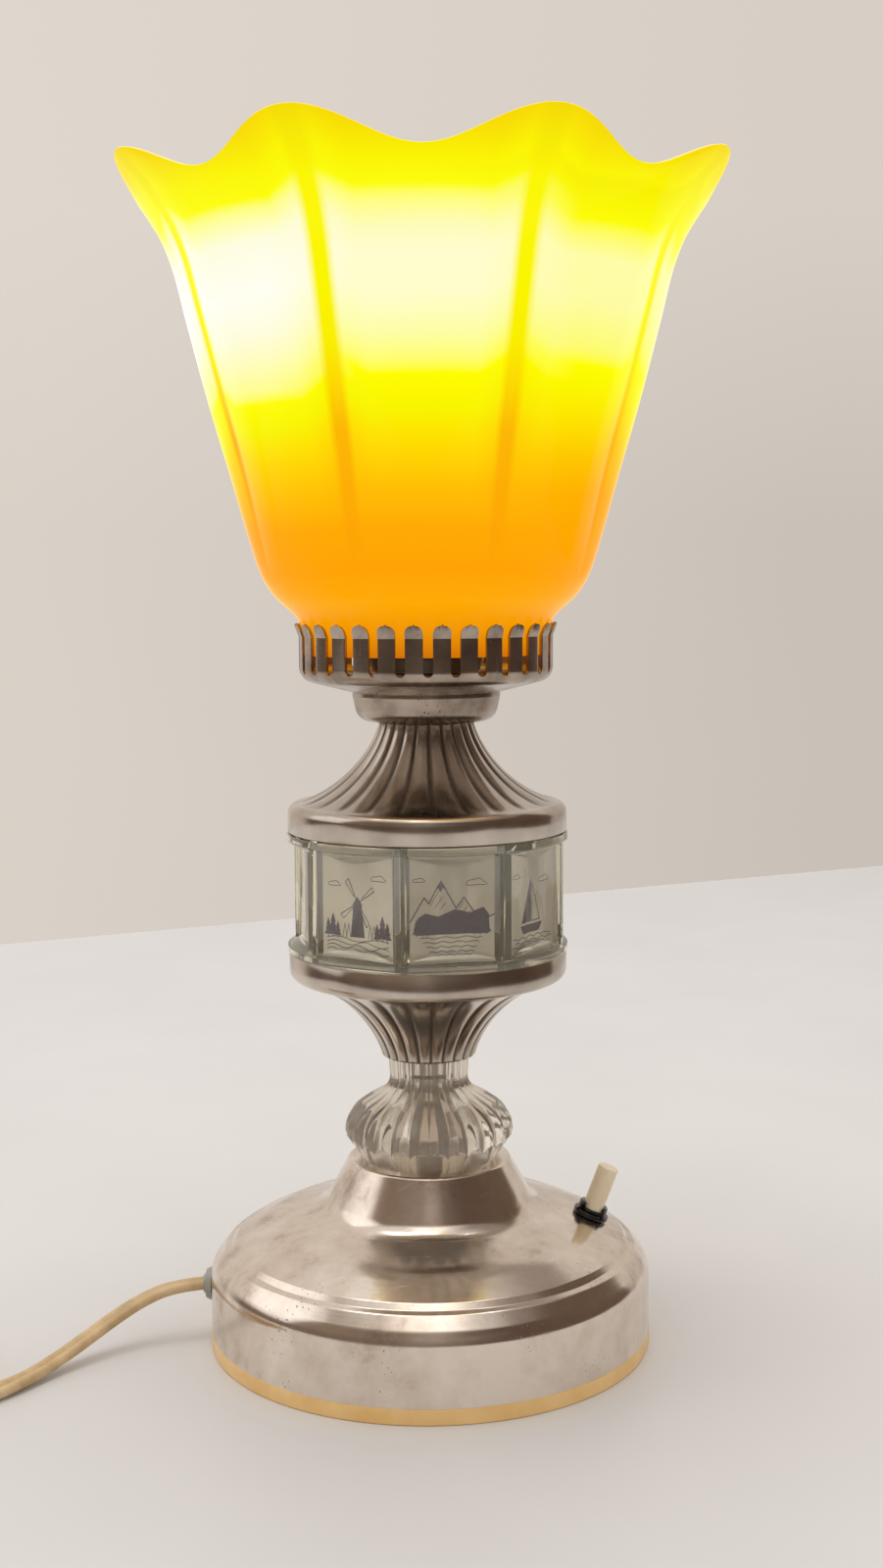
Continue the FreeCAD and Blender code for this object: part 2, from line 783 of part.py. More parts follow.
def make_lampholder_contact():
    strip_z = porcelain_top + contact_rise - contact_t
    foot = Part.makeBox(contact_w, contact_w, contact_t, Vector(-10.5, -contact_w / 2, porcelain_top))
    riser = Part.makeBox(contact_t, contact_w, contact_rise, Vector(-6.1, -contact_w / 2, porcelain_top))
    tongue = Part.makeBox(9.5, contact_w, contact_t, Vector(-6.1, -contact_w / 2, strip_z))
    return foot.fuse([riser, tongue]).removeSplitter()


def make_lampholder_liner():
    inner_r = cap_r + clear_gap
    return disc(inner_r + liner_t, liner_h, porcelain_top, inner_r)


def make_lampholder_shell():
    body = turned([
        (0, holder_split_z, 0.0),
        (holder_r + 0.35, holder_split_z, 0.0),
        (holder_r + 0.35, holder_split_z + 7.0, 0.0),
        (holder_r - 0.6, holder_split_z + 8.0, 0.0),
        (holder_r - 1.2, holder_top, 1.6),
        (0, holder_top, 0.0),
    ])
    low_bore = Part.makeCylinder(holder_r - holder_wall, porcelain_top - holder_split_z, Vector(0, 0, holder_split_z))
    liner_bore = Part.makeCylinder(cap_r + clear_gap + liner_t + fit_gap, liner_h, Vector(0, 0, porcelain_top))
    top_bore = Part.makeCone(cap_r + 1.2, holder_r - holder_wall - 0.6, holder_top - porcelain_top - liner_h,
                             Vector(0, 0, porcelain_top + liner_h))
    return body.cut([low_bore, liner_bore, top_bore])


# Bulb

def make_bulb_cap():
    cap = disc(cap_r, cap_h, cap_z, cap_r - 0.5)
    floor = turned([
        (0, bulb_tip_z, 0.0),
        (cap_tip_r, bulb_tip_z, 0.8),
        (cap_tip_r + 1.0, bulb_tip_z + 1.2, 0.0),
        (cap_r, cap_z, 0.0),
        (cap_r, cap_z + 1.0, 0.0),
        (0, cap_z + 1.0, 0.0),
    ])
    return cap.fuse(floor).removeSplitter()


def make_bulb_glass():
    globe_z = bulb_tip_z + bulb_globe_rise + bulb_r - 3.0
    neck_z = cap_top - 4.0
    # The neck's line leaves the globe where both have the same slope
    outer = bulb_outline(bulb_r, globe_z, neck_z, bulb_neck_r - 1.4)
    inner = bulb_outline(bulb_r - bulb_glass_t, globe_z, neck_z, bulb_neck_r - 1.4 - bulb_glass_t)
    return outer.cut(inner)


def bulb_outline(globe_r, globe_z, neck_z, neck_r):
    waist_angle = math.radians(-42.0)
    waist = Vector(globe_r * math.cos(waist_angle), 0, globe_z + globe_r * math.sin(waist_angle))
    side = Vector(globe_r, 0, globe_z)
    top = Vector(0, 0, globe_z + globe_r)
    neck = Vector(neck_r, 0, neck_z)
    neck_top = Vector(neck_r, 0, neck_z + 6.0)
    edges = [
        Part.LineSegment(Vector(0, 0, neck_z), neck).toShape(),
        Part.LineSegment(neck, neck_top).toShape(),
    ]
    sweep = Part.BezierCurve()
    slope = Vector(-math.sin(waist_angle), 0, math.cos(waist_angle))
    sweep.setPoles([neck_top, neck_top + Vector(0, 0, 9.0), waist - slope * 8.0, waist])
    edges.append(sweep.toShape())
    edges.append(Part.Arc(waist, side, top).toShape())
    edges.append(Part.LineSegment(top, Vector(0, 0, neck_z)).toShape())
    return Part.Face(Part.Wire(edges)).revolve(Vector(0, 0, 0), Vector(0, 0, 1), FULL_TURN)


def make_bulb_stem():
    foot = cap_top - 4.0 + 0.1
    stem = turned([
        (0, foot, 0.0),
        (bulb_neck_r - 1.4 - bulb_glass_t - fit_gap, foot, 0.0),
        (stem_r, foot + 8.0, 4.0),
        (stem_r - 2.2, foot + stem_h, 0.0),
        (0, foot + stem_h, 0.0),
    ])
    posts = []
    for side in (-1, 1):
        post = Part.makeCylinder(0.5, 20.0, Vector(side * 2.0, 0, foot + stem_h - 6.0), Vector(side * 0.45, 0, 1))
        posts.append(post)
    return stem.fuse(posts)


# Shade

def shade_profile(h):
    """Radius of the glass midway between two creases at one height above its foot."""
    knots = shade_stations
    index = 0
    while index < len(knots) - 2 and h > knots[index + 1][0]:
        index += 1
    before = knots[max(index - 1, 0)]
    start = knots[index]
    end = knots[index + 1]
    after = knots[min(index + 2, len(knots) - 1)]
    span = end[0] - start[0]
    slope_in = (end[1] - before[1]) / (end[0] - before[0])
    slope_out = (after[1] - start[1]) / (after[0] - start[0])
    t = (h - start[0]) / span
    blend = t * t * (3 - 2 * t)
    lead = t * (1 - t) * (1 - t) * span * slope_in
    trail = t * t * (1 - t) * span * slope_out
    return start[1] + (end[1] - start[1]) * blend + lead - trail


def crease_at(h):
    """Depth of the pressed creases: none at the shoulder, most in the middle, little at the rim."""
    share = min(1.0, max(0.0, (h - crease_foot_h) / (shade_rim_h - crease_foot_h)))
    return crease_depth * math.sin(math.pi * share ** 0.8) ** 0.8


def petal_wire(h, wave_share, inset):
    """Eight curves of glass that meet at the creases; near the rim their heights wave."""
    step = FULL_TURN / petal_count
    slope = (shade_profile(h + 0.5) - shade_profile(h - 0.5)) if h > 1 else 0.0
    lean = math.sqrt(1 + slope * slope)
    edges = []
    for petal in range(petal_count):
        points = []
        for part in range(7):
            share = part / 6
            angle = FRONT - step / 2 + step * (petal + share)
            high = h + wave_share * shade_rim_wave * math.cos(2 * math.pi * share)
            dip = crease_at(high) * (1.0 - math.sin(math.pi * share))
            r = shade_profile(high) - dip - inset * lean
            points.append(radial(r, angle, shade_z + high))
        curve = Part.BSplineCurve()
        curve.interpolate(points)
        edges.append(curve.toShape())
    return Part.Wire(edges)


def shade_rings(inset):
    """Closed sections of the glass from its foot to its rim; the wave grows towards the rim."""
    rings = []
    for h in shade_sections:
        share = max(0.0, (h - wave_foot_h) / (shade_rim_h - wave_foot_h))
        rings.append(petal_wire(h, share ** 1.5, inset))
    return rings


def make_shade():
    outer_rings = shade_rings(0.0)
    inner_rings = shade_rings(shade_wall)
    outer = Part.makeLoft(outer_rings, False, False)
    inner = Part.makeLoft(inner_rings, False, False)
    rim = [Part.makeRuledSurface(a, b) for a, b in zip(outer_rings[-1].Edges, inner_rings[-1].Edges)]
    foot = [Part.makeRuledSurface(a, b) for a, b in zip(outer_rings[0].Edges, inner_rings[0].Edges)]
    skin = Part.makeShell(outer.Faces + inner.Faces + rim + foot)
    skin.sewShape(0.01)
    return Part.makeSolid(Part.makeShell(skin.Faces))


# Switch

def make_switch_body():
    top = -switch_top_drop
    block = Part.makeBox(switch_long, switch_wide, switch_deep, Vector(-switch_long / 2, -switch_wide / 2, top - switch_deep))
    block = block.makeFillet(switch_corner_round, [edge for edge in block.Edges if abs(edge.Length - switch_deep) < 1e-6])
    neck = Part.makeCylinder(switch_neck_r, switch_neck_h, Vector(0, 0, top))
    cavity = Part.makeCylinder(bush_r + fit_gap, switch_deep, Vector(0, 0, -plunger_drop - plunger_travel - 1.0))
    return at_switch(block.fuse(neck).cut(cavity))


def make_switch_bush():
    bush = Part.makeCylinder(bush_r, bush_drop + bush_rise, Vector(0, 0, -bush_drop))
    bore = Part.makeCylinder(bush_bore_r, bush_drop + bush_rise, Vector(0, 0, -bush_drop))
    notch = Part.makeBox(bush_notch_w, 4 * bush_r, bush_notch, Vector(-bush_notch_w / 2, -2 * bush_r, bush_rise - bush_notch))
    return at_switch(bush.cut([bore, notch]))


def make_switch_nut():
    seat_gap = 0.15
    nut = Part.makeCylinder(ring_nut_r, ring_nut_h, Vector(0, 0, seat_gap))
    nut = nut.makeFillet(0.5, [nut.Edges[0]])
    return at_switch(nut.cut(Part.makeCylinder(bush_r + fit_gap, ring_nut_h, Vector(0, 0, seat_gap))))


def make_switch_plunger():
    length = plunger_drop + bush_rise + plunger_rise
    stem = Part.makeCylinder(plunger_r, length, Vector(0, 0, -plunger_drop))
    top = [edge for edge in stem.Edges if edge.BoundBox.ZMin > bush_rise]
    stem = stem.makeChamfer(0.35, top)
    collar = Part.makeCylinder(plunger_collar_r, plunger_collar_h, Vector(0, 0, -bush_drop - clear_gap - plunger_collar_h))
    return at_switch(stem.fuse(collar))


def make_switch_terminals():
    foot = -switch_top_drop - switch_deep
    tags = []
    for side in (-1, 1):
        corner = Vector(side * 5.0 - terminal_w / 2, -terminal_t / 2, foot - terminal_l)
        tags.append(at_switch(Part.makeBox(terminal_w, terminal_t, terminal_l, corner)))
    return Part.makeCompound(tags)


# Cord and leads

def rounded_path(route, radii=None):
    """Straight runs joined by tangent arcs, each as large as its two runs allow."""
    points = [Vector(*point) for point in route]
    edges = []
    last = points[0]
    for index in range(1, len(points) - 1):
        before = points[index - 1] - points[index]
        after = points[index + 1] - points[index]
        turn = math.pi - before.getAngle(after)
        shorter = min(before.Length, after.Length)
        radius = 0.45 * shorter / math.tan(turn / 2)
        if radii is not None:
            radii.append(round(radius, 1))
        start, middle, end = corner_round(points[index - 1], points[index], points[index + 1], radius)
        edges.append(Part.LineSegment(last, start).toShape())
        edges.append(Part.Arc(start, middle, end).toShape())
        last = end
    edges.append(Part.LineSegment(last, points[-1]).toShape())
    return Part.Wire(edges)


def tube_along(path, radius):
    first = path.Edges[0]
    start = first.valueAt(first.FirstParameter)
    direction = first.tangentAt(first.FirstParameter)
    ring = Part.Wire(Part.Circle(start, direction, radius).toShape())
    return path.makePipeShell([ring], True, False)


def make_mains_cord():
    radii = []
    path = rounded_path(cord_route, radii)
    body = tube_along(path, cord_r)
    share = body.Volume / (path.Length * math.pi * cord_r ** 2)
    print("cord bend radii", radii, "length", round(path.Length, 1), "volume share", round(share, 4))
    return body


def coil_station(turn):
    """Place and heading on the winding after so many radians from its start, wound clockwise."""
    half = math.pi * coil_turns
    climb = math.radians(FULL_TURN / 4)
    outer_r = coil_mid_r + coil_pitch * coil_turns / 4
    rate = coil_pitch / (2 * math.pi)
    if turn <= half:
        radius = outer_r - rate * turn
        drift = -rate
    else:
        radius = outer_r - rate * (2 * half - turn)
        drift = rate
    if abs(turn - half) < 1e-6:
        drift = 0.0
    share = min(1.0, max(0.0, (turn - half + climb) / (2 * climb)))
    z = coil_z + coil_layer_step * (1 - math.cos(math.pi * share)) / 2
    lift = coil_layer_step * math.pi * math.sin(math.pi * share) / (4 * climb)
    ahead = Vector(math.sin(-turn) * radius + drift * math.cos(turn), -math.cos(turn) * radius - drift * math.sin(turn), lift)
    return Vector(radius * math.cos(turn), -radius * math.sin(turn), z), ahead.normalize()


def biarc(first, heading, last, onward):
    """Two arcs that leave the first point on its heading and reach the last on its own."""
    gap = last - first
    both = heading + onward
    bend = 2 * (1 - heading.dot(onward))
    reach = (-gap.dot(both) + math.sqrt(gap.dot(both) ** 2 + bend * gap.dot(gap))) / bend
    joint = (first + last + (heading - onward) * reach) / 2
    edges = []
    for start, direction, end in ((first, heading, joint), (last, onward * -1, joint)):
        chord = end - start
        across = chord - direction * (chord.dot(direction))
        centre = start + across * (chord.dot(chord) / (2 * across.dot(across)))
        radius = (centre - start).Length
        middle = centre + ((start + end) / 2 - centre).normalize() * radius
        if start == first:
            edges.append(Part.Arc(start, middle, end).toShape())
        else:
            edges.append(Part.Arc(end, middle, start).toShape())
    return edges


def coil_path():
    """Centre line of the winding, placed so that it goes on from the end of the free cord."""
    stations = int(round(coil_turns * 4))
    step = 2 * math.pi * coil_turns / stations
    places = [coil_station(step * index) for index in range(stations + 1)]
    before = Vector(*cord_route[-2])
    start = Vector(*cord_route[-1])
    run_in = (start - before).normalize()
    heading = places[0][1]
    spin = math.degrees(math.atan2(run_in.y, run_in.x) - math.atan2(heading.y, heading.x))
    turn = Rotation(Vector(0, 0, 1), spin)
    lead = 2 * cord_r
    shift = start + run_in * lead - turn.multVec(places[0][0])
    shift.z = 0
    placed = [(turn.multVec(point) + shift, turn.multVec(ahead)) for point, ahead in places]
    edges = [Part.LineSegment(start, placed[0][0]).toShape()]
    for (first, heading), (last, onward) in zip(placed, placed[1:]):
        edges += biarc(first, heading, last, onward)
    tail = placed[-1][0] + placed[-1][1] * coil_tail
    edges.append(Part.LineSegment(placed[-1][0], tail).toShape())
    return Part.Wire(edges), tail, placed[-1][1], shift


def least_self_gap(path):
    """Smallest clear distance between stretches of the winding at least half a turn apart."""
    spacing = 2.0
    points = path.discretize(Distance=spacing)
    apart = int(math.pi * coil_mid_r * 0.6 / spacing)
    least = min((points[a] - points[b]).Length for a in range(len(points)) for b in range(a + apart, len(points)))
    return least - 2 * cord_r


def make_coil(path):
    body = tube_along(path, cord_r)
    share = body.Volume / (path.Length * math.pi * cord_r ** 2)
    print("coil length", round(path.Length, 1), "self gap", round(least_self_gap(path), 2), "volume share", round(share, 4))
    return body


def make_tie(centre):
    """A flat strap round all the turns, behind the plug's end of the winding."""
    outer_r = coil_mid_r + coil_pitch * coil_turns / 4 + cord_r
    inner_r = coil_mid_r - coil_pitch * coil_turns / 4 - cord_r
    low = tie_t
    high = coil_z + coil_layer_step + cord_r + tie_gap
    hole = Part.makeBox(outer_r - inner_r + 2 * tie_gap, tie_w, high - low, Vector(inner_r - tie_gap, -tie_w / 2, low))
    band = Part.makeBox(outer_r - inner_r + 2 * tie_gap + 2 * tie_t, tie_w, high - low + 2 * tie_t,
                        Vector(inner_r - tie_gap - tie_t, -tie_w / 2, low - tie_t))
    corners = [edge for edge in band.Edges if abs(edge.Length - tie_w) < 1e-6]
    strap = band.makeFillet(2 * tie_t, corners).cut(hole)
    strap.rotate(Vector(0, 0, 0), Vector(0, 0, 1), tie_angle)
    strap.translate(centre)
    return strap


def rounded_plate(wide, thick, rounding, x):
    """Closed wire of a rounded rectangle in a plane square to X."""
    edges = []
    half_w = wide / 2
    half_t = thick / 2
    corners = [(-half_w, -half_t), (half_w, -half_t), (half_w, half_t), (-half_w, half_t)]
    last = None
    first = None
    for index in range(4):
        points = [Vector(x, *corners[(index + turn) % 4]) for turn in (3, 0, 1)]
        start, middle, end = corner_round(points[0], points[1], points[2], rounding)
        if last is not None:
            edges.append(Part.LineSegment(last, start).toShape())
        else:
            first = start
        edges.append(Part.Arc(start, middle, end).toShape())
        last = end
    edges.append(Part.LineSegment(last, first).toShape())
    return Part.Wire(edges)


def at_plug(shape, tail, heading):
    placed = shape.copy()
    placed.rotate(Vector(0, 0, 0), Vector(0, 0, 1), math.degrees(math.atan2(heading.y, heading.x)))
    placed.translate(tail)
    return placed


def make_plug_body(tail, heading):
    sections = [
        rounded_plate(2 * plug_neck_r, 2 * plug_neck_r, plug_neck_r - 0.6, 0.0),
        rounded_plate(2 * plug_neck_r + 1, 2 * plug_neck_r + 0.5, plug_neck_r - 0.8, 0.25 * plug_l),
        rounded_plate(plug_wide - 3, plug_thick - 1, 6.0, 0.6 * plug_l),
        rounded_plate(plug_wide, plug_thick, 6.0, plug_l),
    ]
    body = Part.makeLoft(sections, True, True)
    holes = [Part.makeCylinder(pin_r + fit_gap, 10.0, Vector(plug_l - 10.0, side * pin_spacing / 2, 0), Vector(1, 0, 0))
             for side in (-1, 1)]
    return at_plug(body.cut(holes), tail, heading)


def make_plug_pins(tail, heading):
    pins = []
    for side in (-1, 1):
        pin = Part.makeCylinder(pin_r, 10.0 + pin_l, Vector(plug_l - 10.0, side * pin_spacing / 2, 0), Vector(1, 0, 0))
        tip = [edge for edge in pin.Edges if edge.BoundBox.XMin > plug_l + pin_l - 0.1]
        pins.append(at_plug(pin.makeFillet(1.2, tip), tail, heading))
    return Part.makeCompound(pins)


def make_cord_gland():
    flange_x = -base_r - fit_gap
    flange = Part.makeCone(gland_flange_r, gland_flange_r - gland_taper_l, gland_flange_t, Vector(flange_x, 0, gland_z), Vector(-1, 0, 0))
    taper = Part.makeCone(cord_r + 1.2, cord_r + 0.4, 0.95, Vector(flange_x - gland_flange_t, 0, gland_z), Vector(-1, 0, 0))
    neck = Part.makeCylinder(gland_neck_r, sheet + gland_tail, Vector(flange_x, 0, gland_z), Vector(1, 0, 0))
    heading = Vector(*cord_route[1]) - Vector(*cord_route[0])
    mouth = Part.makeCylinder(cord_r + fit_gap, gland_flange_t, Vector(*cord_route[0]), heading)
    return flange.fuse([taper, neck]).cut(mouth)


def make_supply_lead():
    """Lead from the gland, past the centre tube, to the near side of the switch body."""
    start_x = -base_r - fit_gap + sheet + gland_tail
    side = at_switch(Part.Vertex(0, -switch_wide / 2, -switch_top_drop - switch_deep / 2)).Point
    reach = side.x - 10 - start_x
    rise = side.z - gland_z
    route = [
        (start_x, 0, gland_z),
        (start_x + 0.13 * reach, 0, gland_z),
        (start_x + 0.26 * reach, -7, gland_z + 0.3 * rise),
        (start_x + 0.44 * reach, -19, gland_z + 0.5 * rise),
        (start_x + 0.64 * reach, -28, gland_z + 0.7 * rise),
        (start_x + 0.84 * reach, -33, gland_z + 0.9 * rise),
        (side.x - 10, -31, side.z),
        (side.x, -22, side.z),
        (side.x, side.y, side.z),
    ]
    return tube_along(rounded_path(route), lead_r)


def make_lamp_lead():
    """Lead from the switch body into the slot of the centre tube and up to the lampholder."""
    side = at_switch(Part.Vertex(-switch_long / 2, 0, -switch_top_drop - switch_deep / 2)).Point
    square = Rotation(Vector(0, 1, 0), switch_tilt).multVec(Vector(-1, 0, 0))
    near = side + square * 11.0
    top = holder_z + holder_floor - 1.0
    rise = top - tube_slot_z
    route = [
        (side.x, side.y, side.z),
        (near.x, near.y, near.z),
        (13.0, 0, tube_slot_z + 0.5),
        (0.4, 0, tube_slot_z + 8.0),
        (0.2, 0, tube_slot_z + 0.15 * rise),
        (0.0, 0.2, tube_slot_z + 0.32 * rise),
        (0.0, -0.2, tube_slot_z + 0.65 * rise),
        (0.0, 0.0, top),
    ]
    return tube_along(rounded_path(route), lead_r)


def main():
    os.makedirs("parts", exist_ok=True)
    save(make_bottom_cover(), "bottom_cover")
    save(make_base_shell(), "base_shell")
    save(make_ballast(), "ballast_weight")
    save(make_cover_screws(), "cover_screws")
    save(make_ballast_nut(), "ballast_nut")
    save(make_neck_washer(), "neck_washer")
    save(make_neck_nut(), "neck_nut")
    save(make_centre_tube(), "centre_tube")
    save(make_knop(), "knop")
    save(make_lower_cone(), "lower_cone")
    save(make_spacer_sleeve(), "spacer_sleeve")
    save(make_window_ring(), "window_ring")
    save(make_picture_strip(), "picture_strip")
    save(make_upper_cone(), "upper_cone")
    save(make_cup(), "gallery_cup")
    save(make_gallery(), "shade_gallery")
    save(make_gallery_nut(), "gallery_nut")
    save(make_lampholder_base(), "lampholder_base")
    save(make_lampholder_porcelain(), "lampholder_porcelain")
    save(make_lampholder_contact(), "lampholder_contact")
    save(make_lampholder_liner(), "lampholder_liner")
    save(make_lampholder_shell(), "lampholder_shell")
    save(make_bulb_cap(), "bulb_cap")
    save(make_bulb_glass(), "bulb_glass")
    save(make_bulb_stem(), "bulb_stem")
    save(make_shade(), "glass_shade")
    save(make_switch_body(), "switch_body")
    save(make_switch_bush(), "switch_bush")
    save(make_switch_nut(), "switch_nut")
    save(make_switch_plunger(), "switch_plunger")
    save(make_switch_terminals(), "switch_terminals")
    save(make_supply_lead(), "supply_lead")
    save(make_lamp_lead(), "lamp_lead")
    save(make_cord_gland(), "cord_gland")
    save(make_mains_cord(), "mains_cord")
    path, tail, heading, centre = coil_path()
    save(make_coil(path), "cord_coil")
    save(make_tie(centre), "cord_tie")
    save(make_plug_body(tail, heading), "plug_body")
    save(make_plug_pins(tail, heading), "plug_pins")
    print("switch tilt", round(switch_tilt, 3), "seat", switch_seat_r, switch_seat_z, "axis", switch_axis)
    print("coil centre", centre, "tail", tail, "heading", heading)


main()
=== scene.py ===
import math

import bmesh
import bpy
from mathutils import Matrix, Vector


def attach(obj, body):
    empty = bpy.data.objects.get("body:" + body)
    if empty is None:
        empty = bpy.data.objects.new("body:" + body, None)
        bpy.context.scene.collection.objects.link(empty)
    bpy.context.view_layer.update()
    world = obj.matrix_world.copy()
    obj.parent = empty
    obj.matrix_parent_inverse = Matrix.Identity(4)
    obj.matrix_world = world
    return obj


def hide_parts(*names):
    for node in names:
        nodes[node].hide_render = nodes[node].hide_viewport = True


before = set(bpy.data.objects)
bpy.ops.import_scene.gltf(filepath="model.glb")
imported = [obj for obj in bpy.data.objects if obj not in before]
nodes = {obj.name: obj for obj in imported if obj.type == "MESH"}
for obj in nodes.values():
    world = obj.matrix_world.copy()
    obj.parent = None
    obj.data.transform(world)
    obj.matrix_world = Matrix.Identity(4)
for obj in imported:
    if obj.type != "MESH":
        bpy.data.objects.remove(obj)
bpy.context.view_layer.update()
MM = 0.001

# Sizes in millimetres, as the part's source has them
BASE_R = 74.0
COVER_H = 5.3
BASE_TOP = 62.5
RING_Z = 133.4
RING_H = 39.6
UPPER_SEAM_Z = 173.3
CUP_Z = 209.5
GALLERY_Z = 219.1
SHADE_Z = 231.5
SWITCH_TILT = math.radians(20.644)
SWITCH_SEAT = Vector((54.5, 0.0, 40.9))
SWITCH_DROP = 0.132

# Bearings in degrees. The front of the lamp faces -y
FRONT = -90.0
REEDS = 24
REED_TURN = 2.6
HALF_PETAL = 22.5


def srgb(text):
    """A colour as a picture editor writes it, turned into the linear values that shaders take."""
    parts = [int(text[i:i + 2], 16) / 255 for i in (1, 3, 5)]
    linear = [c / 12.92 if c <= 0.04045 else ((c + 0.055) / 1.055) ** 2.4 for c in parts]
    return (*linear, 1.0)


# Mesh helpers

def new_object(name, data):
    made = bpy.data.objects.new(name, data)
    bpy.context.scene.collection.objects.link(made)
    return made


def new_piece(name, verts, faces, smooth=32.0, scale=MM):
    """A closed piece from points in millimetres, shaded smooth up to an angle in degrees."""
    mesh = bpy.data.meshes.new(name)
    mesh.from_pydata([Vector(v) * scale for v in verts], [], faces)
    made = bmesh.new()
    made.from_mesh(mesh)
    bmesh.ops.remove_doubles(made, verts=made.verts, dist=2e-6)
    bmesh.ops.dissolve_degenerate(made, edges=made.edges, dist=1e-6)
    bmesh.ops.recalc_face_normals(made, faces=made.faces)
    made.to_mesh(mesh)
    made.free()
    piece = new_object(name, mesh)
    soften(piece, smooth)
    return piece


def soften(piece, angle=32.0):
    piece.data.shade_smooth()
    piece.data.set_sharp_from_angle(angle=math.radians(angle))


def skin(rows, columns, place):
    """Vertices and faces of a grid that closes on itself along its rows and its columns."""
    verts = [place(row, column) for row in rows for column in columns]
    faces = []
    wide = len(columns)
    for row in range(len(rows)):
        above = (row + 1) % len(rows)
        for column in range(wide):
            beside = (column + 1) % wide
            faces.append((row * wide + column, row * wide + beside,
                          above * wide + beside, above * wide + column))
    return verts, faces


def turns(count):
    return [2 * math.pi * index / count for index in range(count)]


def on_circle(point, angle):
    return point[0] * math.cos(angle), point[0] * math.sin(angle), point[1]


def lathe(name, profile, segments):
    """A closed (r, z) outline turned round the z axis."""
    verts, faces = skin(profile, turns(segments), on_circle)
    return new_piece(name, verts, faces)


def rounded(corners, parts=9):
    """The points of an (r, z, rounding) outline with arcs at its rounded corners."""
    path = [tuple(corners[0][:2])]
    for before, corner, after in zip(corners, corners[1:], corners[2:]):
        here = Vector(corner[:2])
        if corner[2] == 0:
            path.append(tuple(here))
            continue
        back = (Vector(before[:2]) - here).normalized()
        ahead = (Vector(after[:2]) - here).normalized()
        half = back.angle(ahead) / 2
        reach = corner[2] / math.tan(half)
        centre = here + (back + ahead).normalized() * (corner[2] / math.sin(half))
        first = here + back * reach - centre
        last = here + ahead * reach - centre
        sweep = first.angle_signed(last)
        for part in range(parts + 1):
            turn = Matrix.Rotation(-sweep * part / parts, 2)
            path.append(tuple(centre + turn @ first))
    path.append(tuple(corners[-1][:2]))
    return path


def thickened(path, wall):
    """The path and, back along it, the same path moved to its right-hand side by the wall."""
    points = [Vector(p) for p in path]
    inside = []
    for index, point in enumerate(points):
        before = points[max(index - 1, 0)]
        after = points[min(index + 1, len(points) - 1)]
        along = (after - before).normalized()
        inside.append(tuple(point + Vector((along.y, -along.x)) * wall))
    return list(path) + inside[::-1]


def bevelled(piece, width, angle):
    edge = piece.modifiers.new("edges", "BEVEL")
    edge.width = width * MM
    edge.segments = 2
    edge.limit_method = "ANGLE"
    edge.angle_limit = math.radians(angle)
    edge.harden_normals = False
    return applied(piece)


def even_normals(piece):
    weigh = piece.modifiers.new("normals", "WEIGHTED_NORMAL")
    weigh.keep_sharp = True
    return piece


def applied(piece):
    """Bakes a piece's modifiers into its mesh."""
    graph = bpy.context.evaluated_depsgraph_get()
    mesh = bpy.data.meshes.new_from_object(piece.evaluated_get(graph))
    piece.modifiers.clear()
    piece.data = mesh
    return piece


def boolean(piece, other, operation):
    step = piece.modifiers.new("cut", "BOOLEAN")
    step.operation = operation
    step.object = other
    step.solver = "EXACT"
    applied(piece)
    bpy.data.objects.remove(other)
    return piece


def prism(outline, low, high):
    """Vertices and faces of a straight prism over an (x, y) outline, anticlockwise from above."""
    count = len(outline)
    verts = [(x, y, z) for z in (low, high) for x, y in outline]
    faces = [tuple(reversed(range(count))), tuple(range(count, 2 * count))]
    faces += [(i, (i + 1) % count, count + (i + 1) % count, count + i) for i in range(count)]
    return verts, faces


def finish_piece(piece, body, slot, surface, *replaced):
    piece.data.materials.clear()
    piece.data.materials.append(surface)
    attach(piece, body)
    if replaced:
        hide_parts(*replaced)
    return piece


# Materials. A pattern's scale comes from its real size in millimetres, taken over one repeat. Where
# the real one is too fine to show in the render, it is drawn as coarse as it needs and a comment says so

def per(size):
    """Texture scale of a pattern that repeats about once in this many millimetres."""
    return 1 / (size * MM)


def plug(tree, socket, value):
    """Links another node's socket to this one, or sets this one's value."""
    if isinstance(value, bpy.types.NodeSocket):
        tree.links.new(value, socket)
    else:
        socket.default_value = value


def add(tree, kind, inputs=(), output=0, stops=(), **settings):
    """Adds a node. Its inputs go by name or in order; one of its output sockets comes back."""
    made = tree.nodes.new("ShaderNode" + kind)
    for key, value in settings.items():
        setattr(made, key, value)
    for key, value in inputs.items() if isinstance(inputs, dict) else enumerate(inputs):
        plug(tree, made.inputs[key], value)
    if stops:
        band = made.color_ramp.elements
        while len(band) < len(stops):
            band.new(0.5)
        for element, (place, colour) in zip(band, stops):
            element.position = place
            element.color = srgb(colour)
    return made.outputs[output]


def new_material(name):
    """A new material, its node tree, and the socket that gives a point's place on the object."""
    made = bpy.data.materials.new(name)
    made.use_nodes = True
    return made, made.node_tree, add(made.node_tree, "TexCoord", output="Object")


def feed(tree, **inputs):
    """Sets and links the inputs of the material's own Principled shader."""
    for key, value in inputs.items():
        plug(tree, tree.nodes["Principled BSDF"].inputs[key.replace("_", " ")], value)


def round_axis(tree, place):
    """A point's place seen from above, and its distance from the lamp's axis."""
    x, y, _ = add(tree, "SeparateXYZ", [place]).node.outputs
    flat = add(tree, "CombineXYZ", [x, y])
    return flat, add(tree, "VectorMath", [flat], "Value", operation="LENGTH")


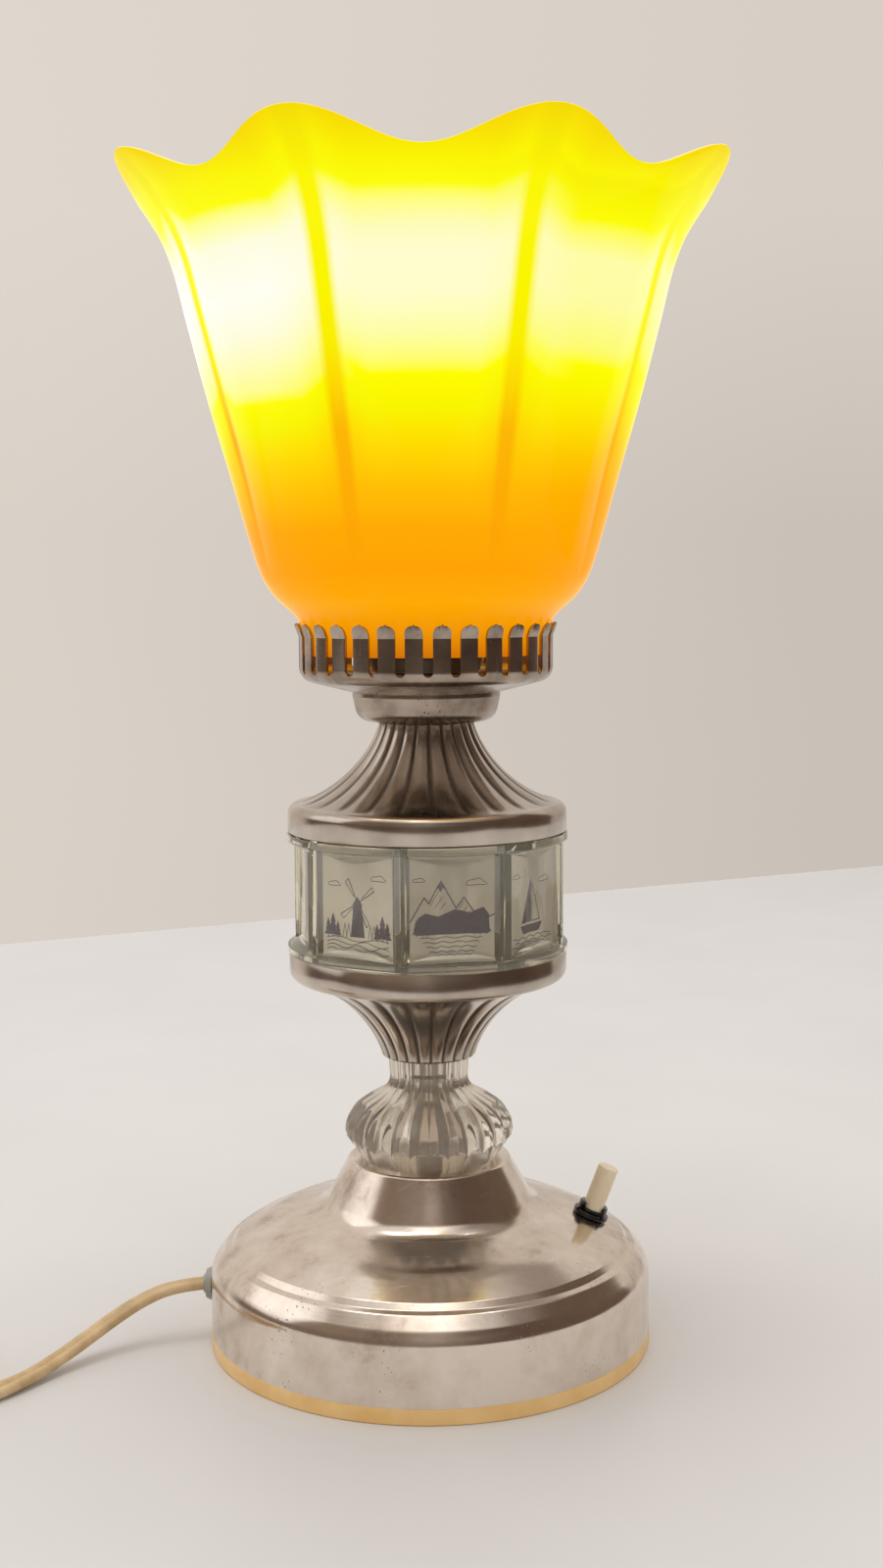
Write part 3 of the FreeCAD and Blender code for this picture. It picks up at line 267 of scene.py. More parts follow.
def lathe_lines(tree, place, size):
    """Vector that makes a noise texture run in rings about the lamp's axis, as tool marks do."""
    flat, radius = round_axis(tree, place)
    height = add(tree, "SeparateXYZ", [place], "Z")
    outward = add(tree, "VectorMath", [flat], operation="NORMALIZE")
    slow = add(tree, "VectorMath", {0: outward, "Scale": 1.3}, operation="SCALE")
    out = add(tree, "Math", [radius, per(size)], operation="MULTIPLY")
    up = add(tree, "Math", [height, per(size)], operation="MULTIPLY")
    rings = add(tree, "CombineXYZ", {0: out, 2: up})
    return add(tree, "VectorMath", [rings, slow], operation="ADD")


def spun_aluminium(name, light, dark, stain, rough_low, rough_high):
    """Aluminium sheet, spun on a lathe and polished: the eye sees the room drawn out round the
    form, with fine rings, rubbed stains, hair scratches and scattered pits of corrosion."""
    made, tree, place = new_material(name)
    # The tool's rings are finer than a tenth of a millimetre; they are drawn 0.385 mm apart
    rings = lathe_lines(tree, place, 0.385)
    lines = add(tree, "TexNoise", {"Vector": rings, "Scale": 1.0, "Detail": 2.0, "Roughness": 0.55})
    # Rubbed spots of 12.5 mm, as a finger leaves, in cloudy areas of 111 mm
    smudge = add(tree, "TexNoise", {"Vector": place, "Scale": per(12.5), "Detail": 5.0, "Roughness": 0.62})
    cloud = add(tree, "TexNoise", {"Vector": place, "Scale": per(111.1), "Detail": 3.0, "Roughness": 0.55})
    cloud = add(tree, "Math", [cloud, 0.35], operation="MULTIPLY")
    worn = add(tree, "Math", [smudge, 0.65, cloud], operation="MULTIPLY_ADD")
    colour = add(tree, "ValToRGB", [worn], stops=[(0.33, stain), (0.44, dark), (0.6, light)])
    # Corrosion comes in areas of 16.7 mm: small pits about 1.6 mm apart, larger ones about 4.8 mm
    areas = add(tree, "TexNoise", {"Vector": place, "Scale": per(16.67), "Detail": 2.0, "Roughness": 0.55})
    sparse = add(tree, "MapRange", [areas, 0.46, 0.7])
    marks = []
    for size, reach in ((1.613, 0.2), (4.762, 0.075)):
        cells = add(tree, "TexVoronoi", {"Vector": place, "Scale": per(size), "Randomness": 1.0})
        limit = add(tree, "Math", [sparse, reach], operation="MULTIPLY")
        marks.append(add(tree, "Math", [cells, limit], operation="LESS_THAN"))
    pit = add(tree, "Math", marks, operation="MAXIMUM")
    shown = add(tree, "Math", [pit, 0.6], operation="MULTIPLY")
    colour = add(tree, "Mix", {0: shown, 6: colour, 7: srgb("#4A4038")}, 2, data_type="RGBA")
    # Metal grain, drawn at 0.667 mm, and hair scratches 0.45 mm apart that slant across the rings
    grain = add(tree, "TexNoise", {"Vector": place, "Scale": per(0.6667), "Detail": 3.0, "Roughness": 0.6})
    slanted = add(tree, "Mapping", {
        "Vector": place, "Rotation": (0.5, 0.3, 0.9), "Scale": (per(16.67), per(0.4545), per(16.67))})
    hair = add(tree, "TexNoise", {"Vector": slanted, "Scale": 1.0, "Detail": 2.0, "Roughness": 0.55})
    hair = add(tree, "MapRange", [hair, 0.66, 0.74])
    hair = add(tree, "Math", [hair, 0.4], operation="MULTIPLY")
    rough = add(tree, "MapRange", [worn, 0.34, 0.66, rough_high, rough_low])
    rough = add(tree, "Math", [lines, 0.06, rough], operation="MULTIPLY_ADD")
    rough = add(tree, "Math", [grain, 0.05, rough], operation="MULTIPLY_ADD")
    marred = add(tree, "Math", [pit, hair], operation="MAXIMUM")
    rough = add(tree, "Math", [marred, 0.3, rough], operation="MULTIPLY_ADD")
    uneven = add(tree, "Math", [grain, 0.12, smudge], operation="MULTIPLY_ADD")
    sunk = add(tree, "Math", [1.0, pit], operation="SUBTRACT")
    relief = add(tree, "Bump", {"Height": lines, "Strength": 0.08, "Distance": 0.00008})
    relief = add(tree, "Bump", {"Height": uneven, "Strength": 0.1, "Distance": 0.0001, "Normal": relief})
    relief = add(tree, "Bump", {"Height": sunk, "Strength": 0.35, "Distance": 0.00012, "Normal": relief})
    round_about = add(tree, "Tangent", direction_type="RADIAL", axis="Z")
    feed(tree, Metallic=1.0, Anisotropic=0.25, Base_Color=colour, Roughness=rough, Normal=relief,
         Tangent=round_about)
    return made


def cast_aluminium():
    """Die-cast aluminium cone: drawn brighter on the crowns of the reeds and darker and browner in the
    grooves, in patches, so that the reeds read as dark and light stripes."""
    made, tree, place = new_material("cast_aluminium_reeded")
    x, y, _ = add(tree, "SeparateXYZ", [place]).node.outputs
    angle = add(tree, "Math", [y, x], operation="ARCTAN2")
    angle = add(tree, "Math", [angle, math.radians(FRONT + REED_TURN)], operation="SUBTRACT")
    angle = add(tree, "Math", [angle, float(REEDS)], operation="MULTIPLY")
    wave = add(tree, "Math", [angle], operation="COSINE")
    _, radius = round_axis(tree, place)
    inward = add(tree, "MapRange", [radius, 43.0 * MM, 38.0 * MM])
    groove = add(tree, "MapRange", [wave, 0.2, 1.0])
    groove = add(tree, "Math", [groove, inward], operation="MULTIPLY")
    # The cast skin's grain is 4.2 mm, and handling has rubbed it in patches of 22 mm
    grain = add(tree, "TexNoise", {"Vector": place, "Scale": per(4.167), "Detail": 5.0, "Roughness": 0.6})
    patch = add(tree, "TexNoise", {"Vector": place, "Scale": per(22.22), "Detail": 3.0, "Roughness": 0.55})
    kept = add(tree, "MapRange", [patch, 0.25, 0.6, 0.45, 1.0])
    # The grooves are drawn darker and browner, more so in some patches
    groove_dark = add(tree, "Math", [groove, kept], operation="MULTIPLY")
    metal = add(tree, "ValToRGB", [patch], stops=[(0.35, "#AFA498"), (0.65, "#D2C7BB")])
    colour = add(tree, "Mix", {0: groove_dark, 6: metal, 7: srgb("#5A4B3F")}, 2, data_type="RGBA")
    rough = add(tree, "MapRange", [groove_dark, 0.0, 1.0, 0.12, 0.36])
    rough = add(tree, "Math", [grain, 0.12, rough], operation="MULTIPLY_ADD")
    uneven = add(tree, "Math", [patch, 0.4, grain], operation="MULTIPLY_ADD")
    relief = add(tree, "Bump", {"Height": uneven, "Strength": 0.12, "Distance": 0.00015})
    feed(tree, Metallic=1.0, Base_Color=colour, Roughness=rough, Normal=relief)
    return made


def moulded_plastic(name, light, dark, rough=0.35, **values):
    """Moulded plastic or glazed ware: a faint flow mottle, handling wear and a skin that takes a
    soft, even highlight."""
    made, tree, place = new_material(name)
    # Flow mottle of 16.7 mm, wear of 7 mm, and the mould's skin, drawn at 0.667 mm
    mottle = add(tree, "TexNoise", {"Vector": place, "Scale": per(16.67), "Detail": 3.0, "Roughness": 0.55})
    wear = add(tree, "TexNoise", {"Vector": place, "Scale": per(7.143), "Detail": 4.0, "Roughness": 0.55})
    fine = add(tree, "TexNoise", {"Vector": place, "Scale": per(0.6667), "Detail": 2.0, "Roughness": 0.55})
    colour = add(tree, "ValToRGB", [mottle], stops=[(0.34, dark), (0.66, light)])
    worn = add(tree, "MapRange", [wear, 0.3, 0.7, rough - 0.06, rough + 0.1])
    uneven = add(tree, "Math", [mottle, 0.5, fine], operation="MULTIPLY_ADD")
    relief = add(tree, "Bump", {"Height": uneven, "Strength": 0.08, "Distance": 0.00005})
    feed(tree, Base_Color=colour, Roughness=worn, Normal=relief, **values)
    return made


def hardware_metal(name, light, dark, rough):
    """Plated steel or bare brass of nuts, screws, tube and pins: a cloudy sheen with fine scratches."""
    made, tree, place = new_material(name)
    # Clouds of 5.6 mm in the plating, and scratches 0.25 mm apart and 3.3 mm long round the piece
    cloud = add(tree, "TexNoise", {"Vector": place, "Scale": per(5.556), "Detail": 4.0, "Roughness": 0.55})
    drawn = add(tree, "VectorMath", [place, (per(3.333), per(3.333), per(0.25))], operation="MULTIPLY")
    scratch = add(tree, "TexNoise", {"Vector": drawn, "Scale": 1.0, "Detail": 2.0, "Roughness": 0.55})
    colour = add(tree, "ValToRGB", [cloud], stops=[(0.34, dark), (0.66, light)])
    sheen = add(tree, "Math", [scratch, 0.14, rough - 0.05], operation="MULTIPLY_ADD")
    uneven = add(tree, "Math", [scratch, cloud], operation="ADD")
    relief = add(tree, "Bump", {"Height": uneven, "Strength": 0.1, "Distance": 0.0001})
    feed(tree, Metallic=1.0, Base_Color=colour, Roughness=sheen, Normal=relief)
    return made


def cast_iron():
    """Sand-cast iron, left raw: dark and granular, with rust blooming through."""
    made, tree, place = new_material("cast_iron_raw")
    # Sand grain of 1.1 mm, rust blooms of 14 mm
    grain = add(tree, "TexNoise", {"Vector": place, "Scale": per(1.111), "Detail": 4.0, "Roughness": 0.7})
    bloom = add(tree, "TexNoise", {"Vector": place, "Scale": per(14.29), "Detail": 5.0, "Roughness": 0.65})
    rust = add(tree, "MapRange", [bloom, 0.5, 0.66])
    metal = add(tree, "ValToRGB", [grain], stops=[(0.3, "#26262A"), (0.7, "#45444A")])
    colour = add(tree, "Mix", {0: rust, 6: metal, 7: srgb("#5E3A24")}, 2, data_type="RGBA")
    rough = add(tree, "MapRange", [grain, 0.2, 0.8, 0.55, 0.85])
    relief = add(tree, "Bump", {"Height": grain, "Strength": 0.5, "Distance": 0.0004})
    feed(tree, Metallic=0.6, Base_Color=colour, Roughness=rough, Normal=relief)
    return made


def window_acrylic():
    """Moulded acrylic that has yellowed and hazed a little: clear, with a warm tint in its thick
    bars, hairline scratches and a trace of dust."""
    made, tree, place = new_material("window_acrylic")
    # Dust of 2.4 mm; hairlines 0.4 mm apart that run upright for 11 mm
    dust = add(tree, "TexNoise", {"Vector": place, "Scale": per(2.381), "Detail": 4.0, "Roughness": 0.7})
    upright = add(tree, "VectorMath", [place, (per(0.4), per(0.4), per(11.11))], operation="MULTIPLY")
    scratch = add(tree, "TexNoise", {"Vector": upright, "Scale": 1.0, "Detail": 1.0, "Roughness": 0.55})
    haze = add(tree, "MapRange", [dust, 0.45, 0.85, 0.02, 0.12])
    relief = add(tree, "Bump", {"Height": scratch, "Strength": 0.02, "Distance": 0.00004})
    feed(tree, Base_Color=srgb("#FFFBE6"), IOR=1.49, Transmission_Weight=0.91, Roughness=haze, Normal=relief)
    return made


def knop_acrylic():
    """Cut acrylic: clear and bright outside, with the moulded core inside left satin and greyer."""
    made, tree, place = new_material("knop_acrylic")
    _, radius = round_axis(tree, place)
    height = add(tree, "SeparateXYZ", [place], "Z")
    core = add(tree, "MapRange", [height, 70.5 * MM, 91.5 * MM, 13.5 * MM, 7.4 * MM])
    inside = add(tree, "Math", [radius, core], operation="LESS_THAN")
    # Flow clouds of 11 mm, dust of 2.4 mm
    cloud = add(tree, "TexNoise", {"Vector": place, "Scale": per(11.11), "Detail": 3.0, "Roughness": 0.55})
    dust = add(tree, "TexNoise", {"Vector": place, "Scale": per(2.381), "Detail": 4.0, "Roughness": 0.7})
    clear = add(tree, "ValToRGB", [cloud], stops=[(0.3, "#FCF2E2"), (0.7, "#FFF9EC")])
    colour = add(tree, "Mix", {0: inside, 6: clear, 7: srgb("#EFE4D6")}, 2, data_type="RGBA")
    haze = add(tree, "MapRange", [dust, 0.4, 0.8, 0.01, 0.08])
    haze = add(tree, "Math", [inside, 0.12, haze], operation="MULTIPLY_ADD")
    relief = add(tree, "Bump", {"Height": cloud, "Strength": 0.05, "Distance": 0.0002})
    feed(tree, IOR=1.49, Transmission_Weight=0.82, Base_Color=colour, Roughness=haze, Normal=relief)
    return made


def amber_opal_glass():
    """Pressed opal glass, amber, lit from inside: the bulb burns a pale band, strongest on the left,
    between an orange foot and a golden rim, and the creases between the petals stay deep yellow.
    The glow is what shows, so the surface itself is dark and its gloss is weak."""
    made, tree, place = new_material("amber_opal_glass")
    x, y, z = add(tree, "SeparateXYZ", [place]).node.outputs
    angle = add(tree, "Math", [y, x], operation="ARCTAN2")
    angle = add(tree, "Math", [angle, math.radians(FRONT + HALF_PETAL)], operation="SUBTRACT")
    angle = add(tree, "Math", [angle, 4.0], operation="MULTIPLY")
    swing = add(tree, "Math", [angle], operation="SINE")
    from_crease = add(tree, "Math", [swing], operation="ABSOLUTE")
    # The glass's thickness wanders over 111 mm, which shifts the band by up to 3.5 mm
    uneven = add(tree, "TexNoise", {"Vector": place, "Scale": per(111.1), "Detail": 1.0, "Roughness": 0.55})
    uneven = add(tree, "Math", [uneven, 0.5], operation="SUBTRACT")
    height = add(tree, "Math", [uneven, 7.0 * MM, z], operation="MULTIPLY_ADD")
    edge = add(tree, "MapRange", [from_crease, 0.1, 0.6, 6.0 * MM, 0.0])
    above_foot = add(tree, "MapRange", [z, 275.0 * MM, 300.0 * MM])
    edge = add(tree, "Math", [edge, above_foot], operation="MULTIPLY")
    height = add(tree, "Math", [height, edge], operation="SUBTRACT")
    share = add(tree, "MapRange", [height, SHADE_Z * MM, (SHADE_Z + 160.0) * MM])
    # The bulb's light is painted into the emission colour by height: a painted pale band, in three ramps for
    # the left, middle and right, with the left painted brightest
    low = [(0.0, "#CC7009"), (0.05, "#F09404"), (0.11, "#FDA901"), (0.17, "#FDA200"), (0.243, "#FDA800")]
    high = [(0.875, "#F9F400"), (0.93, "#F6DC00"), (1.0, "#F5C400")]
    left, middle, right = [add(tree, "ValToRGB", [share], stops=low + band + high) for band in (
        [(0.30, "#FFBD01"), (0.37, "#FED800"), (0.43, "#F7F400"), (0.478, "#FDFC04"), (0.5, "#FDFC90"),
         (0.6, "#FDFCDE"), (0.67, "#FFFEF2"), (0.76, "#FCFCE2"), (0.81, "#FCFD90"), (0.83, "#FAFC08")],
        [(0.314, "#FFBD01"), (0.384, "#FED800"), (0.453, "#F7F400"), (0.515, "#FDFC02"),
         (0.54, "#FEFD70"), (0.588, "#FBFDA8"), (0.655, "#FFFDCB"), (0.72, "#FFFCD1"),
         (0.767, "#FCFBBC"), (0.815, "#FDFD7C"), (0.837, "#FAFC0A")],
        [(0.314, "#FEAF00"), (0.384, "#FDC600"), (0.44, "#FCDF00"), (0.5, "#FAF400"), (0.548, "#FCFD01"),
         (0.575, "#FCFB70"), (0.66, "#FCFBA4"), (0.73, "#FDFCA8"), (0.775, "#FCFC60"),
         (0.795, "#FBFC08"), (0.86, "#F6F000")])]
    to_middle = add(tree, "MapRange", [x, -45.0 * MM, -20.0 * MM])
    to_right = add(tree, "MapRange", [x, 15.0 * MM, 45.0 * MM])
    glow = add(tree, "Mix", {0: to_middle, 6: left, 7: middle}, 2, data_type="RGBA")
    glow = add(tree, "Mix", {0: to_right, 6: glow, 7: right}, 2, data_type="RGBA")
    # Near the creases the glow is painted a deeper yellow: painted shade of the light through the glass
    crease_shade = add(tree, "ValToRGB", [share], stops=[
        (0.0, "#C06800"), (0.12, "#F89C00"), (0.2, "#F79700"), (0.29, "#F99C00"), (0.38, "#FAB400"),
        (0.46, "#FAD600"), (0.54, "#F8EE00"), (0.63, "#F8F400"), (0.74, "#FAF60A"), (0.82, "#F9F600"),
        (0.88, "#F4E800"), (1.0, "#F0BC00")])
    line = add(tree, "MapRange", [from_crease, 0.1, 0.24, 1.0, 0.0])
    fade = add(tree, "MapRange", [z, 258.0 * MM, 300.0 * MM])
    crease = add(tree, "Math", [line, fade], operation="MULTIPLY")
    colour = add(tree, "Mix", {0: crease, 6: glow, 7: crease_shade}, 2, data_type="RGBA")
    # Lip faces that look upward are painted paler: a painted highlight of the glow on the rim
    up = add(tree, "SeparateXYZ", [add(tree, "NewGeometry", output="Normal")], "Z")
    lip_highlight = add(tree, "MapRange", [up, 0.62, 0.95, 0.0, 0.6])
    colour = add(tree, "Mix", {0: lip_highlight, 6: colour, 7: srgb("#FFF3B0")}, 2, data_type="RGBA")
    # Ripples of 18 mm that the mould left
    ripple = add(tree, "TexNoise", {"Vector": place, "Scale": per(18.18), "Detail": 2.0, "Roughness": 0.55})
    relief = add(tree, "Bump", {"Height": ripple, "Strength": 0.06, "Distance": 0.0006})
    feed(tree, Base_Color=srgb("#2C1800"), Roughness=0.14, IOR=1.22, Specular_IOR_Level=0.12,
         Specular_Tint=srgb("#FFC23A"), Coat_Weight=0.06, Coat_Roughness=0.04,
         Emission_Color=colour, Emission_Strength=1.0, Normal=relief)
    return made


def lit_bulb():
    """Inside-frosted lamp glass at full glow: white, and amber where the neck goes into its cap."""
    made, tree, place = new_material("bulb_glass_lit")
    height = add(tree, "SeparateXYZ", [place], "Z")
    # The frost's clouds of 11 mm shift the glow by up to 4 mm
    cloud = add(tree, "TexNoise", {"Vector": place, "Scale": per(11.11), "Detail": 3.0, "Roughness": 0.55})
    height = add(tree, "Math", [cloud, 4.0 * MM, height], operation="MULTIPLY_ADD")
    share = add(tree, "MapRange", [height, 266.0 * MM, 352.0 * MM])
    glow = add(tree, "ValToRGB", [share], stops=[
        (0.0, "#C98A30"), (0.3, "#FFE0A0"), (0.6, "#FFF8E4"), (1.0, "#FFF2C8")])
    relief = add(tree, "Bump", {"Height": cloud, "Strength": 0.05, "Distance": 0.0002})
    feed(tree, Base_Color=srgb("#FFF6DC"), Roughness=0.3, Emission_Color=glow, Emission_Strength=4.0,
         Normal=relief)
    return made


def silvered_film():
    """Polyester film with a vacuum-silvered face: a pale satin mirror with faint upright roller
    marks. Its weak glow stands for the light that the clear ring passes round inside itself."""
    made, tree, place = new_material("silver_print_film")
    height = add(tree, "SeparateXYZ", [place], "Z")
    # Clouds of 14 mm; roller marks 0.71 mm apart that run upright for 33 mm
    cloud = add(tree, "TexNoise", {"Vector": place, "Scale": per(14.29), "Detail": 3.0, "Roughness": 0.55})
    upright = add(tree, "VectorMath", [place, (per(0.7143), per(0.7143), per(33.33))], operation="MULTIPLY")
    roller = add(tree, "TexNoise", {"Vector": upright, "Scale": 1.0, "Detail": 2.0, "Roughness": 0.55})
    cloud = add(tree, "Math", [cloud, 0.5], operation="MULTIPLY")
    # The film's tone is drawn greyer towards the top
    rise = add(tree, "MapRange", [height, 134.0 * MM, 172.0 * MM])
    tone = add(tree, "Math", [rise, 0.5, cloud], operation="MULTIPLY_ADD")
    colour = add(tree, "ValToRGB", [tone], stops=[(0.2, "#F8F8FF"), (0.5, "#F2F1F9"), (0.8, "#E4E2EA")])
    rough = add(tree, "Math", [roller, 0.1, 0.3], operation="MULTIPLY_ADD")
    relief = add(tree, "Bump", {"Height": roller, "Strength": 0.01, "Distance": 0.00003})
    feed(tree, Metallic=0.9, Base_Color=colour, Roughness=rough, Normal=relief,
         Emission_Color=srgb("#D8DCF2"), Emission_Strength=0.06)
    return made


def printing_ink():
    """Violet printing ink, rolled on in lines: matt beside the film, a little uneven in strength."""
    made, tree, place = new_material("violet_ink")
    # Uneven inking of 1.1 mm
    patch = add(tree, "TexNoise", {"Vector": place, "Scale": per(1.111), "Detail": 3.0, "Roughness": 0.55})
    colour = add(tree, "ValToRGB", [patch], stops=[(0.3, "#3C2F80"), (0.7, "#5A4CA4")])
    relief = add(tree, "Bump", {"Height": patch, "Strength": 0.05, "Distance": 0.00003})
    feed(tree, Base_Color=colour, Roughness=0.45, Normal=relief)
    return made


def cord_sheath():
    """Soft extruded PVC of a twin cord, beige: matt, and slightly grubby along its length."""
    made, tree, place = new_material("cord_pvc_beige")
    # Grime of 8.3 mm; the sheath's skin, drawn at 0.45 mm
    grime = add(tree, "TexNoise", {"Vector": place, "Scale": per(8.333), "Detail": 4.0, "Roughness": 0.6})
    fine = add(tree, "TexNoise", {"Vector": place, "Scale": per(0.4545), "Detail": 2.0, "Roughness": 0.55})
    colour = add(tree, "ValToRGB", [grime], stops=[(0.3, "#B99C70"), (0.55, "#D2B78C"), (0.8, "#DCC49C")])
    rough = add(tree, "MapRange", [grime, 0.3, 0.7, 0.42, 0.6])
    relief = add(tree, "Bump", {"Height": fine, "Strength": 0.12, "Distance": 0.00006})
    feed(tree, IOR=1.45, Base_Color=colour, Roughness=rough, Normal=relief)
    return made


POLISHED = spun_aluminium("spun_aluminium_polished", "#EFE4D8", "#E0D2C4", "#BBA999", 0.07, 0.17)
# The satin copy is rougher, and its colours are darkened as painted shade on the cup and gallery under the
# shade
SATIN_SHADED = spun_aluminium("spun_aluminium_satin_shaded", "#B8AA9D", "#96887B", "#6E6055", 0.12, 0.24)
GLAND = moulded_plastic("gland_plastic_grey", "#B4B3AE", "#97968F", 0.3)
CAST = cast_aluminium()
CREAM = moulded_plastic("cream_plastic", "#F5D092", "#E9BF7A", 0.34)
IVORY = moulded_plastic("ivory_plastic", "#F2E4C8", "#E3D0AE", 0.28)
BLACK = moulded_plastic("black_bakelite", "#14110F", "#090807", 0.2, Coat_Weight=0.3)
LEAD = moulded_plastic("lead_sheath_white", "#DAD3C2", "#C6BDA8", 0.45)
PLUG = moulded_plastic("plug_plastic_beige", "#D8C09A", "#CBB088", 0.36)
TIE = moulded_plastic("paper_tie", "#E8E2D2", "#D6CDB8", 0.6)
PORCELAIN = moulded_plastic("glazed_porcelain", "#EDEAE2", "#E0DBCF", 0.14, Coat_Weight=0.6)
BRASS = hardware_metal("brass_dull", "#C9A35A", "#A37F3C", 0.3)
STEEL = hardware_metal("steel_zinc_plated", "#C4C0B6", "#A09C92", 0.32)
IRON = cast_iron()
KNOP = knop_acrylic()
WINDOW = window_acrylic()
SHADE = amber_opal_glass()
BULB = lit_bulb()
FILM = silvered_film()
INK = printing_ink()
CORD = cord_sheath()

# Camera first, so that everything after it is judged in the photograph's own view

camera = new_object("photo_camera", bpy.data.cameras.new("photo_camera"))
bpy.context.scene.camera = camera
camera.data.lens = 43.875
camera.data.sensor_width = 36.0
camera.data.clip_start = 0.01
PITCH = math.radians(5.92)
YAW = math.radians(0.40)
ROLL = math.radians(0.34)
camera.location = (0.00045, -0.6306, 0.2537)
look = Matrix.Rotation(-YAW, 4, "Z") @ Matrix.Rotation(math.pi / 2 - PITCH, 4, "X")
look = look @ Matrix.Rotation(-ROLL, 4, "Z")
camera.rotation_euler = look.to_euler()

# Foot: a spun shell on a moulded cover that three screws hold

SHELL_SHEET = 0.9
SCREW_CIRCLE_R = 45.0
SCREW_BEARINGS = (60.0, 180.0, 300.0)
SCREW_HOLE = [(3.85, -1.0), (3.85, 3.0), (2.05, 3.0), (2.05, 8.0), (0.0, 8.0), (0.0, -1.0)]
SCREW_BOSS = [(5.2, 1.5), (5.2, 7.0), (0.0, 7.0), (0.0, 1.5)]

shell_path = rounded([
    (BASE_R, COVER_H, 0), (BASE_R, 26.7, 9.4), (68.9, 32.7, 1.6), (67.0, 33.5, 0.8), (65.4, 35.3, 1.0),
    (54.5, 40.9, 40.0), (36.0, 46.2, 10.0), (26.9, BASE_TOP, 1.6), (5.3, BASE_TOP, 0)], 14)
base_shell = lathe("base_shell_spun", thickened(shell_path, -SHELL_SHEET), 288)
even_normals(base_shell)
finish_piece(base_shell, "stand", "spun_aluminium", POLISHED, "base_shell")

cover_path = rounded([
    (10.4, 7.0, 0), (10.4, 1.0, 0.3), (71.0, 1.0, 0.3), (71.3, 0.0, 0.2), (74.1, 0.0, 0.6),
    (74.1, COVER_H, 0.4), (72.8, COVER_H, 0), (72.8, 9.3, 0.4), (71.0, 9.3, 0.4), (71.0, 3.0, 0.4),
    (12.4, 3.0, 0.4), (12.4, 7.0, 0.3), (10.4, 7.0, 0)], 4)
cover = lathe("bottom_cover_moulded", cover_path[:-1], 288)
for bearing in SCREW_BEARINGS:
    centre = Matrix.Rotation(math.radians(bearing), 3, "Z") @ Vector((SCREW_CIRCLE_R, 0.0, 0.0))
    for profile, sides, operation in ((SCREW_BOSS, 40, "UNION"), (SCREW_HOLE, 32, "DIFFERENCE")):
        verts, faces = skin(profile, turns(sides), on_circle)
        boolean(cover, new_piece("tool", [Vector(v) + centre for v in verts], faces), operation)
soften(cover)
finish_piece(cover, "stand", "cream_plastic", CREAM, "bottom_cover")

# Knop: fluted acrylic whose lower edge is cut into facets under each ridge

KNOP_PANELS = 26
KNOP_STEP = 2 * math.pi / KNOP_PANELS
KNOP_WIDEST = (28.3, 8.5)
KNOP_NECK = (13.1, 27.5)
KNOP_FACET_FOOT_R = 22.3
KNOP_CORE = [(5.4, 34.7), (5.4, 29.0), (6.6, 28.0), (7.6, 20.0), (9.4, 12.0), (13.0, 8.0), (13.0, 0.0)]


def cubic(points, t):
    weights = ((1 - t) ** 3, 3 * t * (1 - t) ** 2, 3 * t * t * (1 - t), t ** 3)
    return [sum(w * p[axis] for w, p in zip(weights, points)) for axis in (0, 1)]


def knop_rows():
    """Outline of the knop: undercut foot, widest ring, flare up to the neck, straight neck."""
    wide_r, wide_h = KNOP_WIDEST
    neck_r, neck_h = KNOP_NECK
    flare = [KNOP_NECK, (13.1, 20.0), (28.5, 21.0), KNOP_WIDEST]
    rows = [tuple(cubic(flare, 1 - part / 60)) for part in range(61)]
    low = [(wide_r - 2.0 * (1 - part / 24) ** 2, wide_h * part / 24) for part in range(24)]
    high = [(neck_r + 0.4 * (part / 12), neck_h + 7.2 * part / 12) for part in range(1, 13)]
    return low + rows + high


def knop_outer(row, angle):
    """Flutes between the ridges, and under 10 mm a flat facet below each ridge."""
    r, h = row
    wide_r, wide_h = KNOP_WIDEST
    share = ((angle - math.radians(FRONT)) / KNOP_STEP + 0.5) % 1.0
    off = abs(share - 0.5) * KNOP_STEP
    half = KNOP_STEP / 2
    dip = 0.45 + 0.75 * r / wide_r + r * (1 - math.cos(half))
    flute = r - dip * (1.0 - math.sin(math.pi * off / KNOP_STEP) ** 1.3)
    if h < 10.0:
        flat = KNOP_FACET_FOOT_R + (wide_r - KNOP_FACET_FOOT_R) * h / wide_h
        flute = min(flute, flat / math.cos(half - off))
    return flute * math.cos(angle), flute * math.sin(angle), BASE_TOP + h


def knop_inner(row, angle):
    return row[0] * math.cos(angle), row[0] * math.sin(angle), BASE_TOP + row[1]


knop_all = [(knop_outer, row) for row in knop_rows()] + [(knop_inner, row) for row in KNOP_CORE]
verts, faces = skin(knop_all, turns(KNOP_PANELS * 16), lambda row, angle: row[0](row[1], angle))
knop = new_piece("knop_cut_acrylic", verts, faces, 14.0)
finish_piece(knop, "stand", "clear_acrylic", KNOP, "knop")

# Reeded cones

REED_STEP = 2 * math.pi / REEDS
REED_DEPTH = 1.5
CONE_RIM_R = 46.2
CONE_BAND_H = 9.4
CONE_H = 36.2
CONE_FLARE = [(42.8, CONE_BAND_H), (31.0, 12.6), (19.5, 23.5), (15.9, 35.0)]


def cone_rows():
    """Rows of (radius, height, groove depth) from the open rim to the throat."""
    band = rounded([(CONE_RIM_R, 0.0, 0), (CONE_RIM_R, CONE_BAND_H, 3.3), (*CONE_FLARE[0], 0)], 12)
    rows = [(CONE_RIM_R, 0.35, 0.0)] + [(r, h, 0.0) for r, h in band[1:-1]]
    for part in range(97):
        t = (part / 96) ** 1.3
        r, h = cubic(CONE_FLARE, t)
        fade = min(1.0, math.sqrt(t / 0.06)) * (1.0 - 0.45 * t)
        rows.append((r, h, REED_DEPTH * fade))
    throat_r, _, depth = rows[-1]
    for inward, below, share in ((0.1, 0.7, 0.85), (0.45, 0.2, 0.5), (1.1, 0.0, 0.0)):
        rows.append((throat_r - inward, CONE_H - below, depth * share))
    return rows


